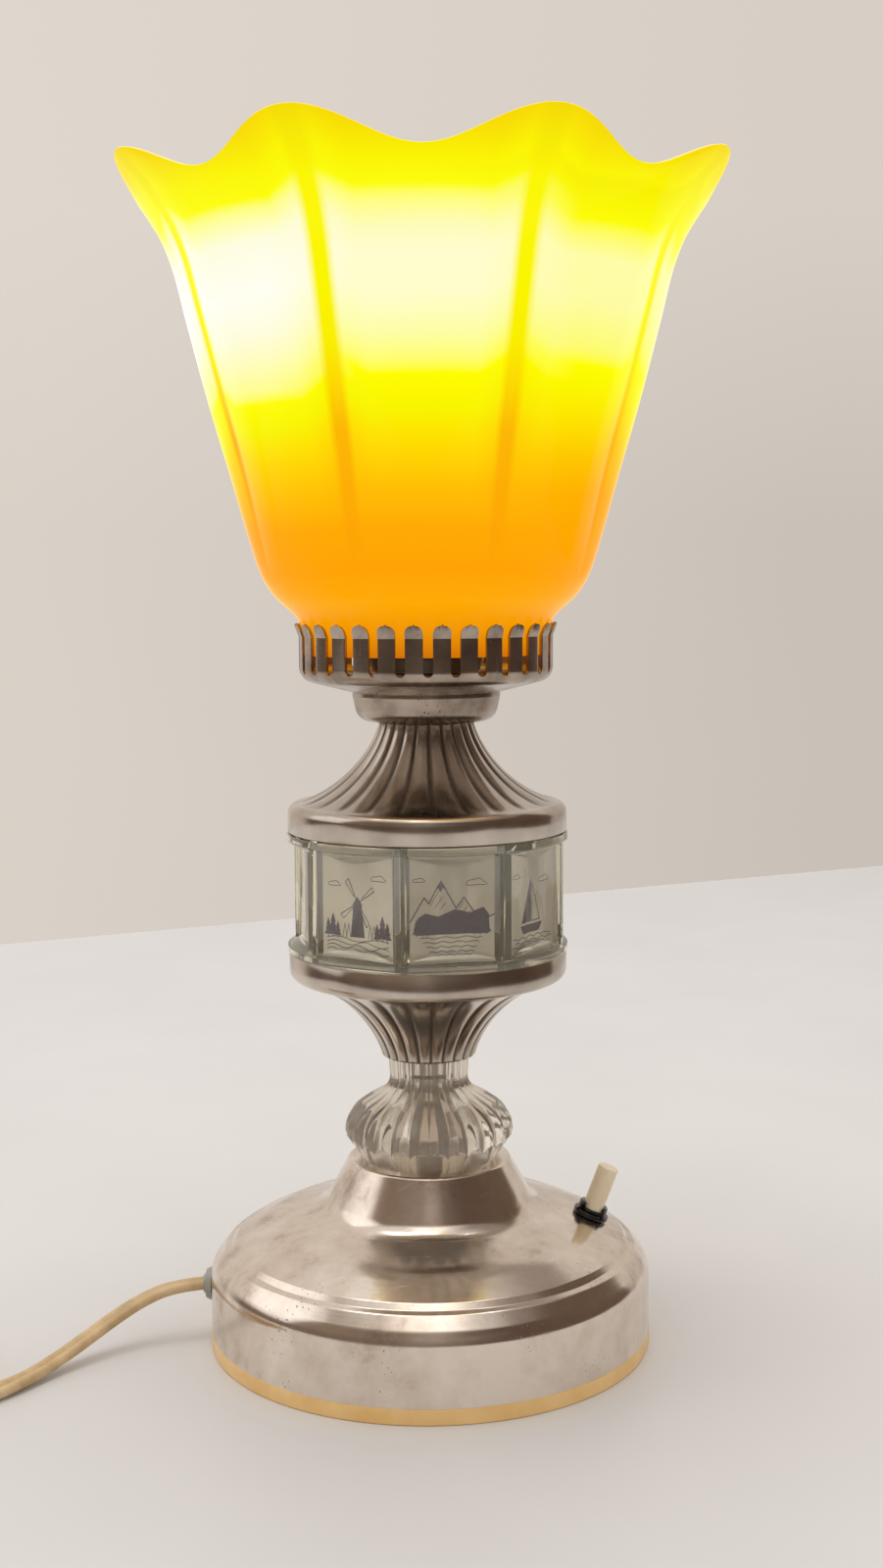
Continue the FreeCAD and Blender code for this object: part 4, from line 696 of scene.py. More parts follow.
def cone_piece(name, foot, flip):
    """One cone from its rim's height, upright or turned over, with its hollow inside."""
    inner = [(5.3, CONE_H), (5.3, 35.0), (13.0, 35.0), (13.9, 33.5)]
    inner += [(r - 2.2, h - 1.0) for r, h in (cubic(CONE_FLARE, 1 - part / 12) for part in range(1, 13))]
    inner += [(45.1, 6.5), (45.1, 0.0), (45.9, 0.0)]
    rows = cone_rows() + [(r, h, 0.0) for r, h in inner]

    def place(row, angle):
        share = ((angle - math.radians(FRONT + REED_TURN)) / REED_STEP) % 1.0
        r = row[0] - row[2] * (1.0 - math.sin(math.pi * share) ** 0.6)
        z = foot - row[1] if flip else foot + row[1]
        return r * math.cos(angle), r * math.sin(angle), z

    verts, faces = skin(rows, turns(REEDS * 16), place)
    return new_piece(name, verts, faces, 50.0)


for name, node, rim_z, flip in (("lower_cone_cast", "lower_cone", RING_Z, True),
                                ("upper_cone_cast", "upper_cone", UPPER_SEAM_Z, False)):
    finish_piece(cone_piece(name, rim_z, flip), "stand", "cast_aluminium", CAST, node)

# Turning ring of windows

BAR_START = math.radians(FRONT - 11.3)
EIGHTH = math.pi / 4
FLANGE_R = 46.6
FLANGE_T = 2.3
WAIST_R = 41.0
WAIST_DROP = 9.0
WINDOW_FACE = 41.5
WINDOW_BORE = 39.0
BAR_SIDE = [(40.0, 3.3), (43.4, 3.3), (44.1, 2.1), (45.0, 1.9), (45.3, 1.5)]


def octagon(apothem):
    corner = apothem / math.cos(EIGHTH / 2)
    bars = [BAR_START + EIGHTH * index for index in range(8)]
    return [(corner * math.cos(bar), corner * math.sin(bar)) for bar in bars]


def window_axes(turn):
    """Directions outward and along the ring, at this many eighths of a turn from the first bar."""
    angle = BAR_START + EIGHTH * turn
    return Vector((math.cos(angle), math.sin(angle), 0)), Vector((-math.sin(angle), math.cos(angle), 0))


def flare_arc(top):
    """Concave end of the ring, from the flange in to the waist."""
    reach = FLANGE_R - WAIST_R
    down = WAIST_DROP - FLANGE_T
    radius = (reach * reach + down * down) / (2 * reach)
    full = math.asin(down / radius)
    points = []
    for part in range(15):
        bend = full * (1 - part / 14)
        r = WAIST_R + radius * (1 - math.cos(bend))
        drop = WAIST_DROP - radius * math.sin(bend)
        points.append((r, RING_H - drop if top else drop))
    return points


flange = [(FLANGE_R, 2.0), (FLANGE_R, 0.3), (FLANGE_R - 0.3, 0.0), (30.0, 0.0)]
ring_profile = [(r, RING_H - h) for r, h in flange[::-1]] + flare_arc(True)
ring_profile += flare_arc(False)[::-1] + flange
ring = lathe("window_ring_acrylic", ring_profile, 256)
verts, faces = prism(octagon(WINDOW_FACE), 0.02, RING_H - 0.02)
boolean(ring, new_piece("flats", verts, faces), "UNION")
for index in range(8):
    out, along = window_axes(index)
    outline = [(reach, -side) for reach, side in BAR_SIDE] + BAR_SIDE[::-1]
    outline = [(out * reach + along * side).xy for reach, side in outline]
    verts, faces = prism(outline, 0.04, RING_H - 0.04)
    boolean(ring, new_piece("bar", verts, faces), "UNION")
verts, faces = prism(octagon(WINDOW_BORE), -5.0, RING_H + 5.0)
boolean(ring, new_piece("bore", verts, faces), "DIFFERENCE")
ring.data.transform(Matrix.Translation((0, 0, RING_Z * MM)))
bevelled(ring, 0.3, 28.0)
soften(ring, 30.0)
finish_piece(ring, "drum", "clear_acrylic", WINDOW, "window_ring")

FILM_HALF = 13.6
FILM_IN = 38.4
FILM_OUT = 38.85
FILM_MARGIN = 0.4
FILM_FOOT = RING_Z + FILM_MARGIN
FILM_TOP = RING_Z + RING_H - FILM_MARGIN
film_corners = [
    (FILM_IN, -FILM_HALF), (FILM_OUT, -FILM_HALF), (FILM_OUT, FILM_HALF), (FILM_IN, FILM_HALF)]
film_verts = []
film_faces = []
for index in range(8):
    out, along = window_axes(index + 0.5)
    outline = [(out * reach + along * wide).xy for reach, wide in film_corners]
    verts, faces = prism(outline, FILM_FOOT, FILM_TOP)
    film_faces += [tuple(corner + len(film_verts) for corner in face) for face in faces]
    film_verts += verts
strip = new_piece("picture_strip_film", film_verts, film_faces)
finish_piece(strip, "drum", "print_film", FILM, "picture_strip")

# Line prints: plain landscapes in window coordinates, u to the right, v up, in millimetres. Each
# mark is a line with its width or a filled patch

PRINT_OUT = 38.9
PRINT_DOWN = 1.6
PRINT_WIDER = 1.04
PRINT_TALLER = 1.25


def stroke(points, width=0.28):
    return [("line", points, width)]


def blot(points):
    return [("fill", points, 0)]


def wave_line(v, low, high, bumps, rise):
    points = []
    for part in range(25):
        u = low + (high - low) * part / 24
        points.append((u, v + rise * math.sin(bumps * math.pi * part / 24)))
    return points


def fir(u, v, size):
    marks = []
    for level in range(3):
        half = size * (0.32 - 0.08 * level)
        foot = v + size * (0.12 + 0.24 * level)
        marks += blot([(u - half, foot), (u + half, foot), (u, foot + size * 0.4)])
    return marks + stroke([(u, v), (u, v + size * 0.2)], 0.3)


def cloud(u, v, size):
    points = []
    for part in range(33):
        angle = math.pi * part / 32
        lobe = 1 + 0.22 * abs(math.sin(2.5 * angle))
        points.append((u - size * lobe * math.cos(angle), v + 0.5 * size * lobe * math.sin(angle)))
    return stroke(points, 0.2) + stroke([(u - size, v), (u + size, v)], 0.2)


def sailing_boat():
    marks = blot([(-6.5, -5.2), (6.0, -5.2), (4.2, -7.4), (-5.0, -7.4)])
    marks += blot([(-0.4, -4.6), (-0.4, 7.2), (-6.0, -4.6)])
    marks += stroke([(0.2, -4.4), (0.2, 5.6), (4.6, -4.4), (0.2, -4.4)], 0.3)
    for level, shift in enumerate((0.0, 1.4, -0.8, 0.6)):
        water = wave_line(-8.4 - 1.1 * level, -11 + shift, 11 + shift * 0.5, 10 - level, 0.28)
        marks += stroke(water, 0.22)
    return marks + cloud(7.0, 5.5, 2.6) + cloud(-9.0, 7.5, 1.8)


def mountain_lake():
    ridge = [(-11.5, -5.4), (-10.6, -1.0), (-8.2, 0.2), (-4.4, -0.8), (0.8, 1.0), (5.6, 0.0),
             (9.6, 1.4), (11.4, -0.6), (11.4, -5.4)]
    peaks = [(-13, -2), (-8.6, 4.2), (-7.2, 2.6), (-3.4, 8.4), (1.2, 1.2), (3.6, 4.0), (8.6, -2.2),
             (13, -0.6)]
    marks = blot(ridge) + stroke(peaks, 0.34)
    for shift in (0.0, 1.7, 3.4):
        marks += stroke([(-6.9 + shift, 1.9 - 0.2 * shift), (-4.0 + 0.6 * shift, 5.9 - 0.9 * shift)], 0.16)
        foot = 2.0 + 0.8 * shift
        marks += stroke([(foot, 1.0 - 0.4 * shift), (foot + 1.5, 3.0 - 0.6 * shift)], 0.16)
    marks += cloud(7.4, 7.0, 2.8) + cloud(-10.2, 8.2, 1.7)
    marks += blot([(-5.0, 5.9), (-3.4, 8.4), (-1.8, 5.9), (-2.8, 6.6), (-3.5, 5.4), (-4.3, 6.5)])
    for place, size in ((-11.0, 4.4), (-9.2, 5.6), (-7.6, 4.0), (6.8, 4.8), (8.6, 6.2), (10.6, 5.0)):
        marks += fir(place, -5.6, size)
    for level in range(5):
        water = wave_line(-6.2 - 1.2 * level, -10 + level, 9 - 0.8 * level, 6 + level, 0.2)
        marks += stroke(water, 0.2)
    return marks


def windmill():
    marks = blot([(-2.6, -7.0), (2.6, -7.0), (1.5, 1.4), (-1.5, 1.4)])
    marks += blot([(-1.9, 1.4), (1.9, 1.4), (0, 3.6)])
    for quarter in range(4):
        angle = math.radians(28 + 90 * quarter)
        tip = (7.0 * math.cos(angle), 2.0 + 7.0 * math.sin(angle))
        marks += stroke([(0, 2.0), tip], 0.3)
        side = (math.cos(angle + 0.2), math.sin(angle + 0.2))
        edge = [(reach * side[0], 2.0 + reach * side[1]) for reach in (2.0, 6.8)]
        marks += stroke(edge + [tip], 0.22)
    for level in range(4):
        marks += stroke(wave_line(-7.6 - level, -11.5, 11.5, 3 + level, 0.5), 0.22)
    for place, size in ((-11.0, 5.0), (-9.2, 6.4), (-7.4, 4.4), (7.2, 4.6), (9.2, 6.8), (11.0, 5.2)):
        marks += fir(place, -7.4, size)
    for side in (-5.6, -4.2, 3.8, 5.2):
        marks += stroke([(side, -7.2), (side + 0.9, -3.6), (side + 1.6, -7.2)], 0.2)
    for step in range(5):
        marks += stroke([(-1.9 + 0.1 * step, -5.4 + 1.4 * step), (-0.4, -5.0 + 1.4 * step)], 0.16)
    return marks + cloud(7.8, 8.0, 2.4) + cloud(-8.6, 6.0, 2.0)


def rowing_shore():
    marks = stroke(wave_line(-1.0, -12, 12, 3, 1.6), 0.3) + stroke(wave_line(1.4, -12, 4, 2, 1.2), 0.24)
    for place, size in ((-10.4, 9.5), (-7.6, 7.0), (9.8, 8.4)):
        marks += fir(place, -1.6, size)
    marks += blot([(-2.0, -6.2), (7.4, -6.2), (5.8, -7.8), (-0.6, -7.8)])
    marks += stroke([(1.0, -5.4), (-3.6, -8.8)], 0.26)
    for level in range(5):
        marks += stroke(wave_line(-4.4 - 1.5 * level, -11 + level, 10 - level, 7, 0.22), 0.2)
    marks += stroke([(0.6, 7.0), (1.6, 7.8), (2.6, 7.0), (3.6, 7.8), (4.6, 7.0)], 0.24)
    return marks + stroke([(5.8, 8.8), (6.5, 9.3), (7.2, 8.8), (7.9, 9.3), (8.6, 8.8)], 0.22)


def marks_mesh(marks, index):
    """Flat ribbons and patches of ink, laid just outside the film behind one window."""
    out, right = window_axes(index + 0.5)
    middle = out * PRINT_OUT + Vector((0, 0, RING_Z + RING_H / 2 - PRINT_DOWN))
    verts = []
    faces = []

    def put(u, v):
        verts.append(middle + right * u * PRINT_WIDER + Vector((0, 0, v * PRINT_TALLER)))
        return len(verts) - 1

    for kind, points, width in marks:
        if kind == "fill":
            faces.append(tuple(put(u, v) for u, v in points))
            continue
        for (u0, v0), (u1, v1) in zip(points, points[1:]):
            along = Vector((u1 - u0, v1 - v0))
            if along.length < 1e-6:
                continue
            along.normalize()
            side = Vector((-along.y, along.x)) * width / 2
            ahead = along * width * 0.3
            start = Vector((u0, v0)) - ahead
            end = Vector((u1, v1)) + ahead
            faces.append(tuple(put(*spot) for spot in (start - side, end - side, end + side, start + side)))
    return verts, faces


scenes = [sailing_boat(), mountain_lake(), windmill(), rowing_shore()]
for index in range(8):
    verts, faces = marks_mesh(scenes[(index * 3 + 1) % 4], index)
    mesh = bpy.data.meshes.new("window_print")
    mesh.from_pydata([v * MM for v in verts], [], faces)
    finish_piece(new_object("window_print_%d" % (index + 1), mesh), "drum", "print_film", INK)

# Cup and gallery

GALLERY_H = 22.4
FINGERS = 30
FINGER_TURN = 6.9
HALF_SLOT = 1.55
SLOT_FLOOR = 6.4
TIP_ROUND = 2.5

cup_path = rounded([
    (24.4, GALLERY_Z, 0), (24.4, GALLERY_Z - 1.2, 0.6), (22.6, CUP_Z, 5.0), (5.3, CUP_Z, 0)], 10)
cup = lathe("gallery_cup_spun", thickened(cup_path, 0.9), 224)
even_normals(cup)
finish_piece(cup, "stand", "gallery_aluminium", SATIN_SHADED, "gallery_cup")

gallery_path = rounded([
    (43.2, GALLERY_Z + GALLERY_H, 0), (41.7, GALLERY_Z + 18.4, 0.6), (41.7, GALLERY_Z + 4.4, 5.0),
    (24.4, GALLERY_Z, 3.0), (5.3, GALLERY_Z, 0)], 10)
gallery = lathe("shade_gallery_fingers", thickened(gallery_path, 1.0), 360)


def slot_outline():
    """Outline of one slot in (across, height): round foot, straight sides, and lips that round the
    finger tips."""
    middle = GALLERY_Z + SLOT_FLOOR + HALF_SLOT
    top = GALLERY_Z + GALLERY_H
    foot = []
    for part in range(13):
        angle = math.pi + math.pi * part / 12
        foot.append((HALF_SLOT * math.cos(angle), middle + HALF_SLOT * math.sin(angle)))
    lip = []
    for part in range(9):
        angle = math.pi / 2 * part / 8
        lip.append((HALF_SLOT + TIP_ROUND * (1 - math.cos(angle)), top + TIP_ROUND * (math.sin(angle) - 1)))
    lip.append((HALF_SLOT + TIP_ROUND, top + 1.5))
    return foot + lip + [(-across, height) for across, height in lip[::-1]]


outline = slot_outline()
count = len(outline)
slot_verts = []
slot_faces = []
for index in range(FINGERS):
    angle = math.radians(FRONT + FINGER_TURN + 360.0 / FINGERS * (index + 0.5))
    out = Vector((math.cos(angle), math.sin(angle), 0))
    side = Vector((-out.y, out.x, 0))
    start = len(slot_verts)
    for reach in (37.0, 46.0):
        slot_verts += [out * reach + side * u + Vector((0, 0, v)) for u, v in outline]
    slot_faces.append(tuple(start + i for i in range(count)))
    slot_faces.append(tuple(start + count + i for i in reversed(range(count))))
    for i in range(count):
        beside = start + (i + 1) % count
        slot_faces.append((start + i, start + count + i, beside + count, beside))
boolean(gallery, new_piece("slots", slot_verts, slot_faces), "DIFFERENCE")
bevelled(gallery, 0.16, 40.0)
soften(gallery, 34.0)
finish_piece(gallery, "stand", "gallery_aluminium", SATIN_SHADED, "shade_gallery")

# Shade: pressed opal glass with eight lobes and a waved rim

SHADE_KNOTS = [
    (0.0, 40.2), (6.5, 40.3), (12.0, 42.2), (18.4, 48.9), (25.0, 53.3), (37.5, 57.5), (56.5, 62.8),
    (81.8, 70.0), (106.7, 76.4), (122.0, 80.1), (131.5, 83.6), (138.5, 87.6), (146.0, 93.0), (155.0, 101.6)]
SHADE_RIM = 148.7
SHADE_WALL = 2.3
WAVE_FOOT = 112.0
WAVE_H = 5.1
CREASE_FOOT = 24.0
CREASE_DEPTH = 2.3


def shade_radius(h):
    """Radius at a height over the shade's foot, on a smooth curve through the knots."""
    index = 0
    while index < len(SHADE_KNOTS) - 2 and h > SHADE_KNOTS[index + 1][0]:
        index += 1
    before = SHADE_KNOTS[max(index - 1, 0)]
    start = SHADE_KNOTS[index]
    end = SHADE_KNOTS[index + 1]
    after = SHADE_KNOTS[min(index + 2, len(SHADE_KNOTS) - 1)]
    gap = end[0] - start[0]
    slope_in = (end[1] - before[1]) / (end[0] - before[0])
    slope_out = (after[1] - start[1]) / (after[0] - start[0])
    t = (h - start[0]) / gap
    return (start[1] + (end[1] - start[1]) * t * t * (3 - 2 * t)
            + t * (1 - t) ** 2 * gap * slope_in - t * t * (1 - t) * gap * slope_out)


def crease_dip(h):
    share = min(1.0, max(0.0, (h - CREASE_FOOT) / (SHADE_RIM - CREASE_FOOT)))
    return CREASE_DEPTH * max(0.0, math.sin(math.pi * share ** 0.8)) ** 0.8


def shade_point(row, angle):
    """Row is (share of the way up, how deep in the wall from 0 outside to 1 inside)."""
    share, depth = row
    phase = ((angle - math.radians(FRONT + HALF_PETAL)) / EIGHTH) % 1.0
    wave = math.cos(2 * math.pi * phase)
    h = share * SHADE_RIM
    lift = max(0.0, (h - WAVE_FOOT) / (SHADE_RIM - WAVE_FOOT)) ** 1.5
    h = h + lift * WAVE_H * wave
    slope = shade_radius(h + 0.5) - shade_radius(max(h - 0.5, 0.0))
    lean = math.sqrt(1 + slope * slope)
    groove = crease_dip(h) * (1.0 - math.sin(math.pi * phase)) ** 1.25
    r = shade_radius(h) - groove - SHADE_WALL * depth * lean
    return r * math.cos(angle), r * math.sin(angle), SHADE_Z + h


shade_rows = [(part / 130, 0.0) for part in range(129)]
shade_rows += [(0.9945, 0.0), (0.9985, 0.12), (1.0, 0.3), (1.0, 0.7), (0.9985, 0.88)]
shade_rows += [(part / 130, 1.0) for part in range(129, -1, -1)]
verts, faces = skin(shade_rows, turns(8 * 48), shade_point)
shade = new_piece("glass_shade_petals", verts, faces, 60.0)
finish_piece(shade, "shade", "shade_glass", SHADE, "glass_shade")

# Bulb: lamp glass with its screw cap

BULB_R = 30.0
BULB_Z = 320.3
BULB_NECK_R = 12.6

bulb_path = [(0.0, BULB_Z + BULB_R)]
for part in range(1, 41):
    angle = math.pi / 2 - math.radians(132.0) * part / 40
    bulb_path.append((BULB_R * math.cos(angle), BULB_Z + BULB_R * math.sin(angle)))
waist_r, waist_z = bulb_path[-1]
sweep = [(waist_r, waist_z), (waist_r - 5.4, waist_z - 6.0), (BULB_NECK_R, 281.0), (BULB_NECK_R, 272.0)]
bulb_path += [tuple(cubic(sweep, part / 20)) for part in range(1, 21)]
bulb_path.append((BULB_NECK_R, 266.5))
bulb = lathe("bulb_glass_blown", thickened(bulb_path, 0.8), 128)
finish_piece(bulb, "bulb", "bulb_clear", BULB, "bulb_glass")

# Push switch

LEAN = Matrix.Translation(SWITCH_SEAT * MM) @ Matrix.Rotation(SWITCH_TILT, 4, "Y")
LEAN = LEAN @ Matrix.Translation((0, 0, -SWITCH_DROP * MM))
BUSH_PITCH = 0.75
BUSH_ROOT_R = 4.5
BUSH_CREST_R = 5.0


def leaning(piece):
    piece.data.transform(LEAN)
    return piece


bush_profile = [(3.8, -6.0), (4.7, -6.0)]
for thread in range(13):
    z = -5.6 + thread * BUSH_PITCH
    bush_profile += [
        (BUSH_ROOT_R, z), (BUSH_CREST_R, z + 0.3), (BUSH_CREST_R, z + 0.4), (BUSH_ROOT_R, z + 0.7)]
bush_profile += [(4.7, 4.2), (4.5, 4.4), (3.95, 4.4), (3.8, 4.25)]
bush = lathe("switch_bush_threaded", bush_profile, 96)
verts, faces = prism([(-3.2, -20), (3.2, -20), (3.2, 20), (-3.2, 20)], 2.8, 6.0)
boolean(bush, new_piece("notch", verts, faces), "DIFFERENCE")
soften(bush)
finish_piece(leaning(bush), "stand", "bakelite", BLACK, "switch_bush")

nut_profile = rounded([
    (5.05, 0.15, 0), (6.0, 0.15, 0.12), (6.0, 0.75, 0.2), (5.7, 0.9, 0.1), (6.0, 1.05, 0.2),
    (6.0, 1.6, 0.3), (5.05, 1.75, 0)], 5)
ring_nut = lathe("switch_ring_nut", nut_profile, 96)
for index in range(4):
    verts, faces = prism([(5.3, -0.6), (7.0, -0.6), (7.0, 0.6), (5.3, 0.6)], 0.9, 3.0)
    notch = new_piece("notch", verts, faces)
    notch.data.transform(Matrix.Rotation(math.pi / 2 * index + 0.5, 4, "Z"))
    boolean(ring_nut, notch, "DIFFERENCE")
soften(ring_nut)
finish_piece(leaning(ring_nut), "stand", "bakelite", BLACK, "switch_nut")

plunger_profile = rounded([
    (0.0, -9.0, 0), (3.5, -9.0, 0.1), (3.5, -7.5, 0), (4.6, -7.5, 0.1), (4.6, -6.3, 0.1), (3.5, -6.3, 0),
    (3.5, 17.9, 0.45), (0.0, 17.9, 0)], 5)
plunger = lathe("switch_plunger_button", plunger_profile, 96)
finish_piece(leaning(plunger), "button", "ivory_plastic", IVORY, "switch_plunger")

# Mains cord: flat twin, one spline from the gland to the plug

CORD_ROUTE = [
    (-77.0, 0.0, 18.0), (-87.0, -1.6, 17.6), (-97.0, -6.2, 14.8), (-106.2, -13.6, 10.8), (-115.0, -22.8, 6.6),
    (-123.0, -32.8, 3.6), (-130.0, -43.0, 2.6), (-137.2, -52.6, 2.7), (-145.5, -61.3, 3.1),
    (-154.3, -69.5, 3.7), (-163.5, -77.2, 3.7)]
COIL_TURNS = 7.3
COIL_MID_R = 36.0
COIL_PITCH = 5.6
COIL_LAYER = 6.6
COIL_Z = 3.7
COIL_TAIL = 30.0
CORD_WIDE = 6.4
CORD_THICK = 3.4
TILT_FROM = 0.070
TILT_OVER = 0.045


def coil_place(turn):
    """Place and direction of the cord at an angle of the winding: inward in the lower layer, then
    up half a turn and outward again in the upper one."""
    half = math.pi * COIL_TURNS
    outer = COIL_MID_R + COIL_PITCH * COIL_TURNS / 4
    rate = COIL_PITCH / (2 * math.pi)
    radius = outer - rate * (turn if turn <= half else 2 * half - turn)
    climb = math.pi / 2
    share = min(1.0, max(0.0, (turn - half + climb) / (2 * climb)))
    z = COIL_Z + COIL_LAYER * (1 - math.cos(math.pi * share)) / 2
    ahead = Vector((-math.sin(turn), -math.cos(turn), 0)) * radius
    drift = -rate if turn < half else rate
    ahead += Vector((math.cos(turn), -math.sin(turn), 0)) * drift
    return Vector((radius * math.cos(turn), -radius * math.sin(turn), z)), ahead.normalized()


run_in = (Vector(CORD_ROUTE[-1]) - Vector(CORD_ROUTE[-2])).normalized()
first_place, first_ahead = coil_place(0.0)
spin = math.atan2(run_in.y, run_in.x) - math.atan2(first_ahead.y, first_ahead.x)
turn_to = Matrix.Rotation(spin, 3, "Z")
shift = Vector(CORD_ROUTE[-1]) + run_in * 5.0 - turn_to @ first_place
shift.z = 0.0
coil_points = []
steps = int(COIL_TURNS * 16)
for index in range(steps + 1):
    coil_points.append(turn_to @ coil_place(2 * math.pi * COIL_TURNS * index / steps)[0] + shift)
tail_ahead = turn_to @ coil_place(2 * math.pi * COIL_TURNS)[1]
tail_ahead.z = 0
tail_ahead.normalize()
cord_points = [Vector(p) for p in CORD_ROUTE] + coil_points
cord_points += [coil_points[-1] + tail_ahead * COIL_TAIL * share for share in (0.34, 0.67, 1.0)]

line_data = bpy.data.curves.new("cord_line", "CURVE")
line_data.dimensions = "3D"
line_data.resolution_u = 6
spline = line_data.splines.new("NURBS")
spline.points.add(len(cord_points) - 1)
for point, place in zip(spline.points, cord_points):
    point.co = (*(place * MM), 1.0)
spline.order_u = 3
spline.use_endpoint_u = True
line = new_object("cord_line", line_data)
bpy.context.view_layer.update()
line_mesh = bpy.data.meshes.new_from_object(line)
cord_path = [v.co.copy() for v in line_mesh.vertices]
bpy.data.objects.remove(line)


def twin_section():
    """Outline of the flat twin cord, (along its width, along its thickness)."""
    points = []
    lobe = CORD_THICK / 2
    off = CORD_WIDE / 2 - lobe
    for side in (1, -1):
        for part in range(11):
            angle = math.radians(-122 + 244 * part / 10)
            if side < 0:
                angle += math.pi
            points.append((side * off + lobe * math.cos(angle), lobe * math.sin(angle)))
        points.append((0.0, side * (lobe * 0.62)))
    return points


def sweep_cord(path, section):
    """Sweeps the section along the path: flat on the table, turned on edge in the coil."""
    travelled = 0.0
    verts = []
    for index, point in enumerate(path):
        before = path[max(index - 1, 0)]
        after = path[min(index + 1, len(path) - 1)]
        if index:
            travelled += (point - path[index - 1]).length
        ahead = (after - before).normalized()
        side = ahead.cross(Vector((0, 0, 1))).normalized()
        up = side.cross(ahead).normalized()
        share = min(1.0, max(0.0, (travelled - TILT_FROM) / TILT_OVER))
        tilt = math.pi / 2 * share * share * (3 - 2 * share)
        wide = side * math.cos(tilt) + up * math.sin(tilt)
        thick = up * math.cos(tilt) - side * math.sin(tilt)
        verts += [point + (wide * a + thick * b) * MM for a, b in section]
    count = len(section)
    last = (len(path) - 1) * count
    faces = [(row + j, row + (j + 1) % count, row + count + (j + 1) % count, row + count + j)
             for row in range(0, last, count) for j in range(count)]
    faces.append(tuple(range(count)))
    faces.append(tuple(last + j for j in reversed(range(count))))
    return verts, faces


verts, faces = sweep_cord(cord_path, twin_section())
cord = new_piece("mains_cord_twin", verts, faces, 45.0, 1.0)
finish_piece(cord, "stand", "cord_pvc", CORD, "mains_cord", "cord_coil")
cord_length = sum((b - a).length for a, b in zip(cord_path, cord_path[1:]))

# Carried CAD nodes: each gets the material of what it is made of

for surface, names in (
        (IRON, ("ballast_weight",)),
        (STEEL, ("cover_screws", "ballast_nut", "neck_washer", "neck_nut", "centre_tube", "spacer_sleeve",
                 "gallery_nut")),
        (BLACK, ("lampholder_base", "lampholder_shell", "switch_body")),
        (PORCELAIN, ("lampholder_porcelain",)),
        (BRASS, ("lampholder_contact", "lampholder_liner", "bulb_cap", "switch_terminals", "plug_pins")),
        (BULB, ("bulb_stem",)),
        (LEAD, ("supply_lead", "lamp_lead")),
        (GLAND, ("cord_gland",)),
        (TIE, ("cord_tie",)),
        (PLUG, ("plug_body",))):
    for name in names:
        nodes[name].data.materials.clear()
        nodes[name].data.materials.append(surface)

[tuple(p) for p in cord_path]

# Studio: a pale table whose far edge is in view, a pale wall, two soft lamps and a dark room in front

floor_mat, tree, place = new_material("table_white")
# Clouds of 111 mm in a painted top
cloud = add(tree, "TexNoise", {"Vector": place, "Scale": per(111.1), "Detail": 2.0, "Roughness": 0.55})
colour = add(tree, "ValToRGB", [cloud], stops=[(0.3, "#D8D8D8"), (0.7, "#DCDCDC")])
feed(tree, Base_Color=colour, Roughness=0.45)

wall_mat, tree, place = new_material("wall_pale")
x, _, z = add(tree, "SeparateXYZ", [place]).node.outputs
# The wall's lit look is painted into its glow: soft painted shadows 0.7 m wide, painted shade darkening it
# towards the right, and painted light making it grow lighter upward
shadow = add(tree, "TexNoise", {"Vector": place, "Scale": per(714.3), "Detail": 2.0, "Roughness": 0.55})
shadow = add(tree, "Math", [shadow, 0.5], operation="SUBTRACT")
across = add(tree, "MapRange", [x, -0.7, 0.7])
across = add(tree, "Math", [shadow, 0.25, across], operation="MULTIPLY_ADD")
colour = add(tree, "ValToRGB", [across], stops=[(0.05, "#D7CEC5"), (0.95, "#C7BEB5")])
upward = add(tree, "MapRange", [z, 0.35, 0.85, 0.0, 0.45])
colour = add(tree, "Mix", {0: upward, 6: colour, 7: srgb("#E4DBD2")}, 2, data_type="RGBA")
feed(tree, Base_Color=srgb("#1A1918"), Roughness=1.0, Emission_Color=colour, Emission_Strength=1.0)

for name, corners, surface in (
        ("studio_floor", [(-3, -0.62, 0), (0.78, -0.6, 0), (0.78, 1.259, 0), (-3, -0.61, 0)], floor_mat),
        ("studio_wall", [(-4, 2.5, -1.6), (4, 2.5, -1.6), (4, 2.5, 3.5), (-4, 2.5, 3.5)], wall_mat)):
    mesh = bpy.data.meshes.new(name)
    mesh.from_pydata(corners, [], [(0, 1, 2, 3)])
    mesh.materials.append(surface)
    new_object(name, mesh)

for name, place, aim, size, power in (
        ("ceiling_softbox", (-0.1, 0.1, 2.3), (0, 0, 0.1), (1.5, 1.2), 20.0),
        ("left_softbox", (-2.4, 0.2, 1.5), (0, 0, 0.2), (2.0, 2.0), 7.0)):
    data = bpy.data.lights.new(name, "AREA")
    data.shape = "RECTANGLE"
    data.size, data.size_y = size
    data.energy = power
    data.color = srgb("#FBFBFF")[:3]
    lamp = new_object(name, data)
    lamp.location = place
    lamp.rotation_euler = (Vector(aim) - Vector(place)).to_track_quat("-Z", "Y").to_euler()

# World: pale all round for diffuse light. What metal and glass mirror also has a dark room in it, on
# bearings counted from straight behind the camera, with a bright ceiling panel

world = bpy.data.worlds.new("studio_world")
bpy.context.scene.world = world
world.use_nodes = True
tree = world.node_tree
sky = add(tree, "TexCoord", output="Generated")
x, y, z = add(tree, "SeparateXYZ", [sky]).node.outputs
bearing = add(tree, "Math", [x, add(tree, "Math", [y, -1.0], operation="MULTIPLY")], operation="ARCTAN2")
rise = add(tree, "Math", [z], operation="ARCSINE")


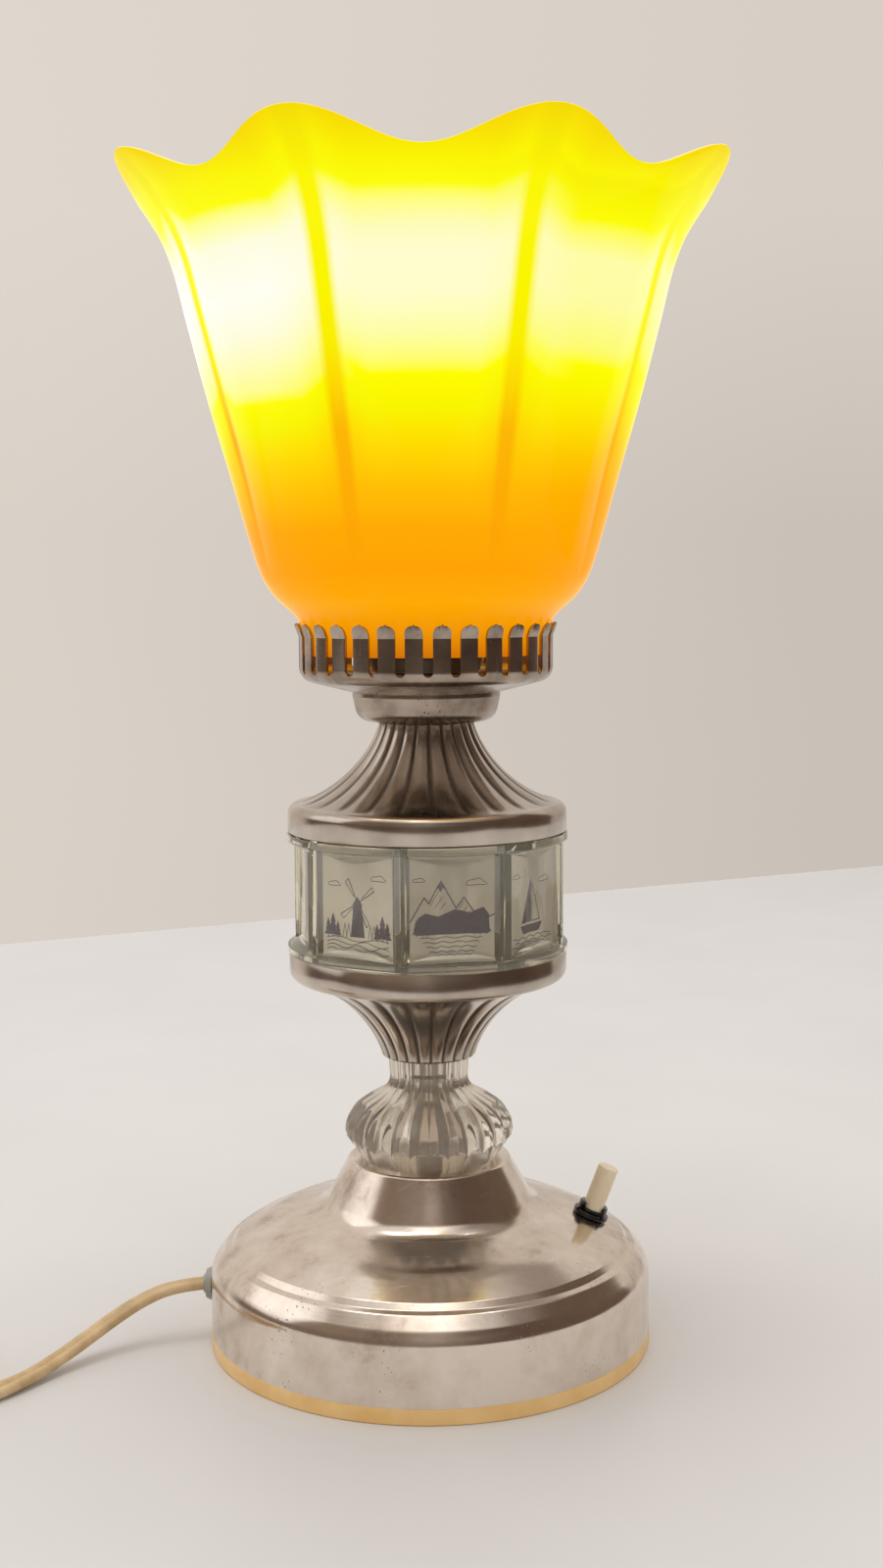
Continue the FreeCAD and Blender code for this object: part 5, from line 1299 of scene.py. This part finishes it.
def room_mask(bearings, side_soft, heights, end_soft):
    """One inside a range of bearings and heights in degrees, falling to nothing over soft borders."""
    sides = []
    for value, (low, high), soft in ((bearing, bearings, side_soft), (rise, heights, end_soft)):
        starts = [math.radians(v) for v in (low - soft, low)]
        ends = [math.radians(v) for v in (high, high + soft)]
        opening = add(tree, "MapRange", [value, *starts])
        closing = add(tree, "MapRange", [value, *ends, 1.0, 0.0])
        sides.append(add(tree, "Math", [opening, closing], operation="MULTIPLY"))
    return add(tree, "Math", sides, operation="MULTIPLY")


horizon = room_mask((-112, 165), 10, (-75, 14), 8)
room = room_mask((-74, 168), 7, (4, 46), 9)
side = room_mask((60, 165), 25, (0, 58), 20)
side = add(tree, "Math", [side, 0.75], operation="MULTIPLY")
dark = add(tree, "Math", [room, side], operation="MAXIMUM")
dark = add(tree, "Math", [horizon, dark], operation="MAXIMUM")
upward = add(tree, "MapRange", [rise, -1.0, 1.3])
bright = add(tree, "ValToRGB", [upward], stops=[
    (0.3, "#C9BFB6"), (0.5, "#D4CBC2"), (0.8, "#E2DBD4"), (1.0, "#EFEAE5")])
# Things in the room, about 16 degrees wide
things = add(tree, "TexNoise", {"Vector": sky, "Scale": 3.5, "Detail": 3.0, "Roughness": 0.55})
things = add(tree, "Math", [things, 0.5], operation="SUBTRACT")
round_room = add(tree, "MapRange", [bearing, -2.0, 2.5])
seen = add(tree, "Math", [things, 0.12, round_room], operation="MULTIPLY_ADD")
shades = add(tree, "ValToRGB", [seen], stops=[
    (0.22, "#857466"), (0.38, "#8E8074"), (0.435, "#A99D93"), (0.48, "#9C9086"), (0.53, "#72635A"),
    (0.62, "#5C4B41"), (0.9, "#6A584A")])
table_edge = add(tree, "MapRange", [rise, -0.1, 0.35, 0.75, 0.0])
shades = add(tree, "Mix", {0: table_edge, 6: shades, 7: srgb("#5A483E")}, 2, data_type="RGBA")
glossy = add(tree, "LightPath", output="Is Glossy Ray")
through = add(tree, "LightPath", output="Is Transmission Ray")
mirrored = add(tree, "Math", [through, 0.7, glossy], operation="MULTIPLY_ADD")
mirrored = add(tree, "Math", [mirrored, 1.0], operation="MINIMUM")
mirrored = add(tree, "Math", [dark, mirrored], operation="MULTIPLY")
colour = add(tree, "Mix", {0: mirrored, 6: bright, 7: shades}, 2, data_type="RGBA")
panel = add(tree, "Math", [room_mask((-24, 22), 8, (57, 74), 6), glossy], operation="MULTIPLY")
strength = add(tree, "Math", [panel, 0.9, 1.0], operation="MULTIPLY_ADD")
for key, value in (("Color", colour), ("Strength", strength)):
    plug(tree, tree.nodes["Background"].inputs[key], value)

bpy.context.scene.view_settings.view_transform = "Standard"
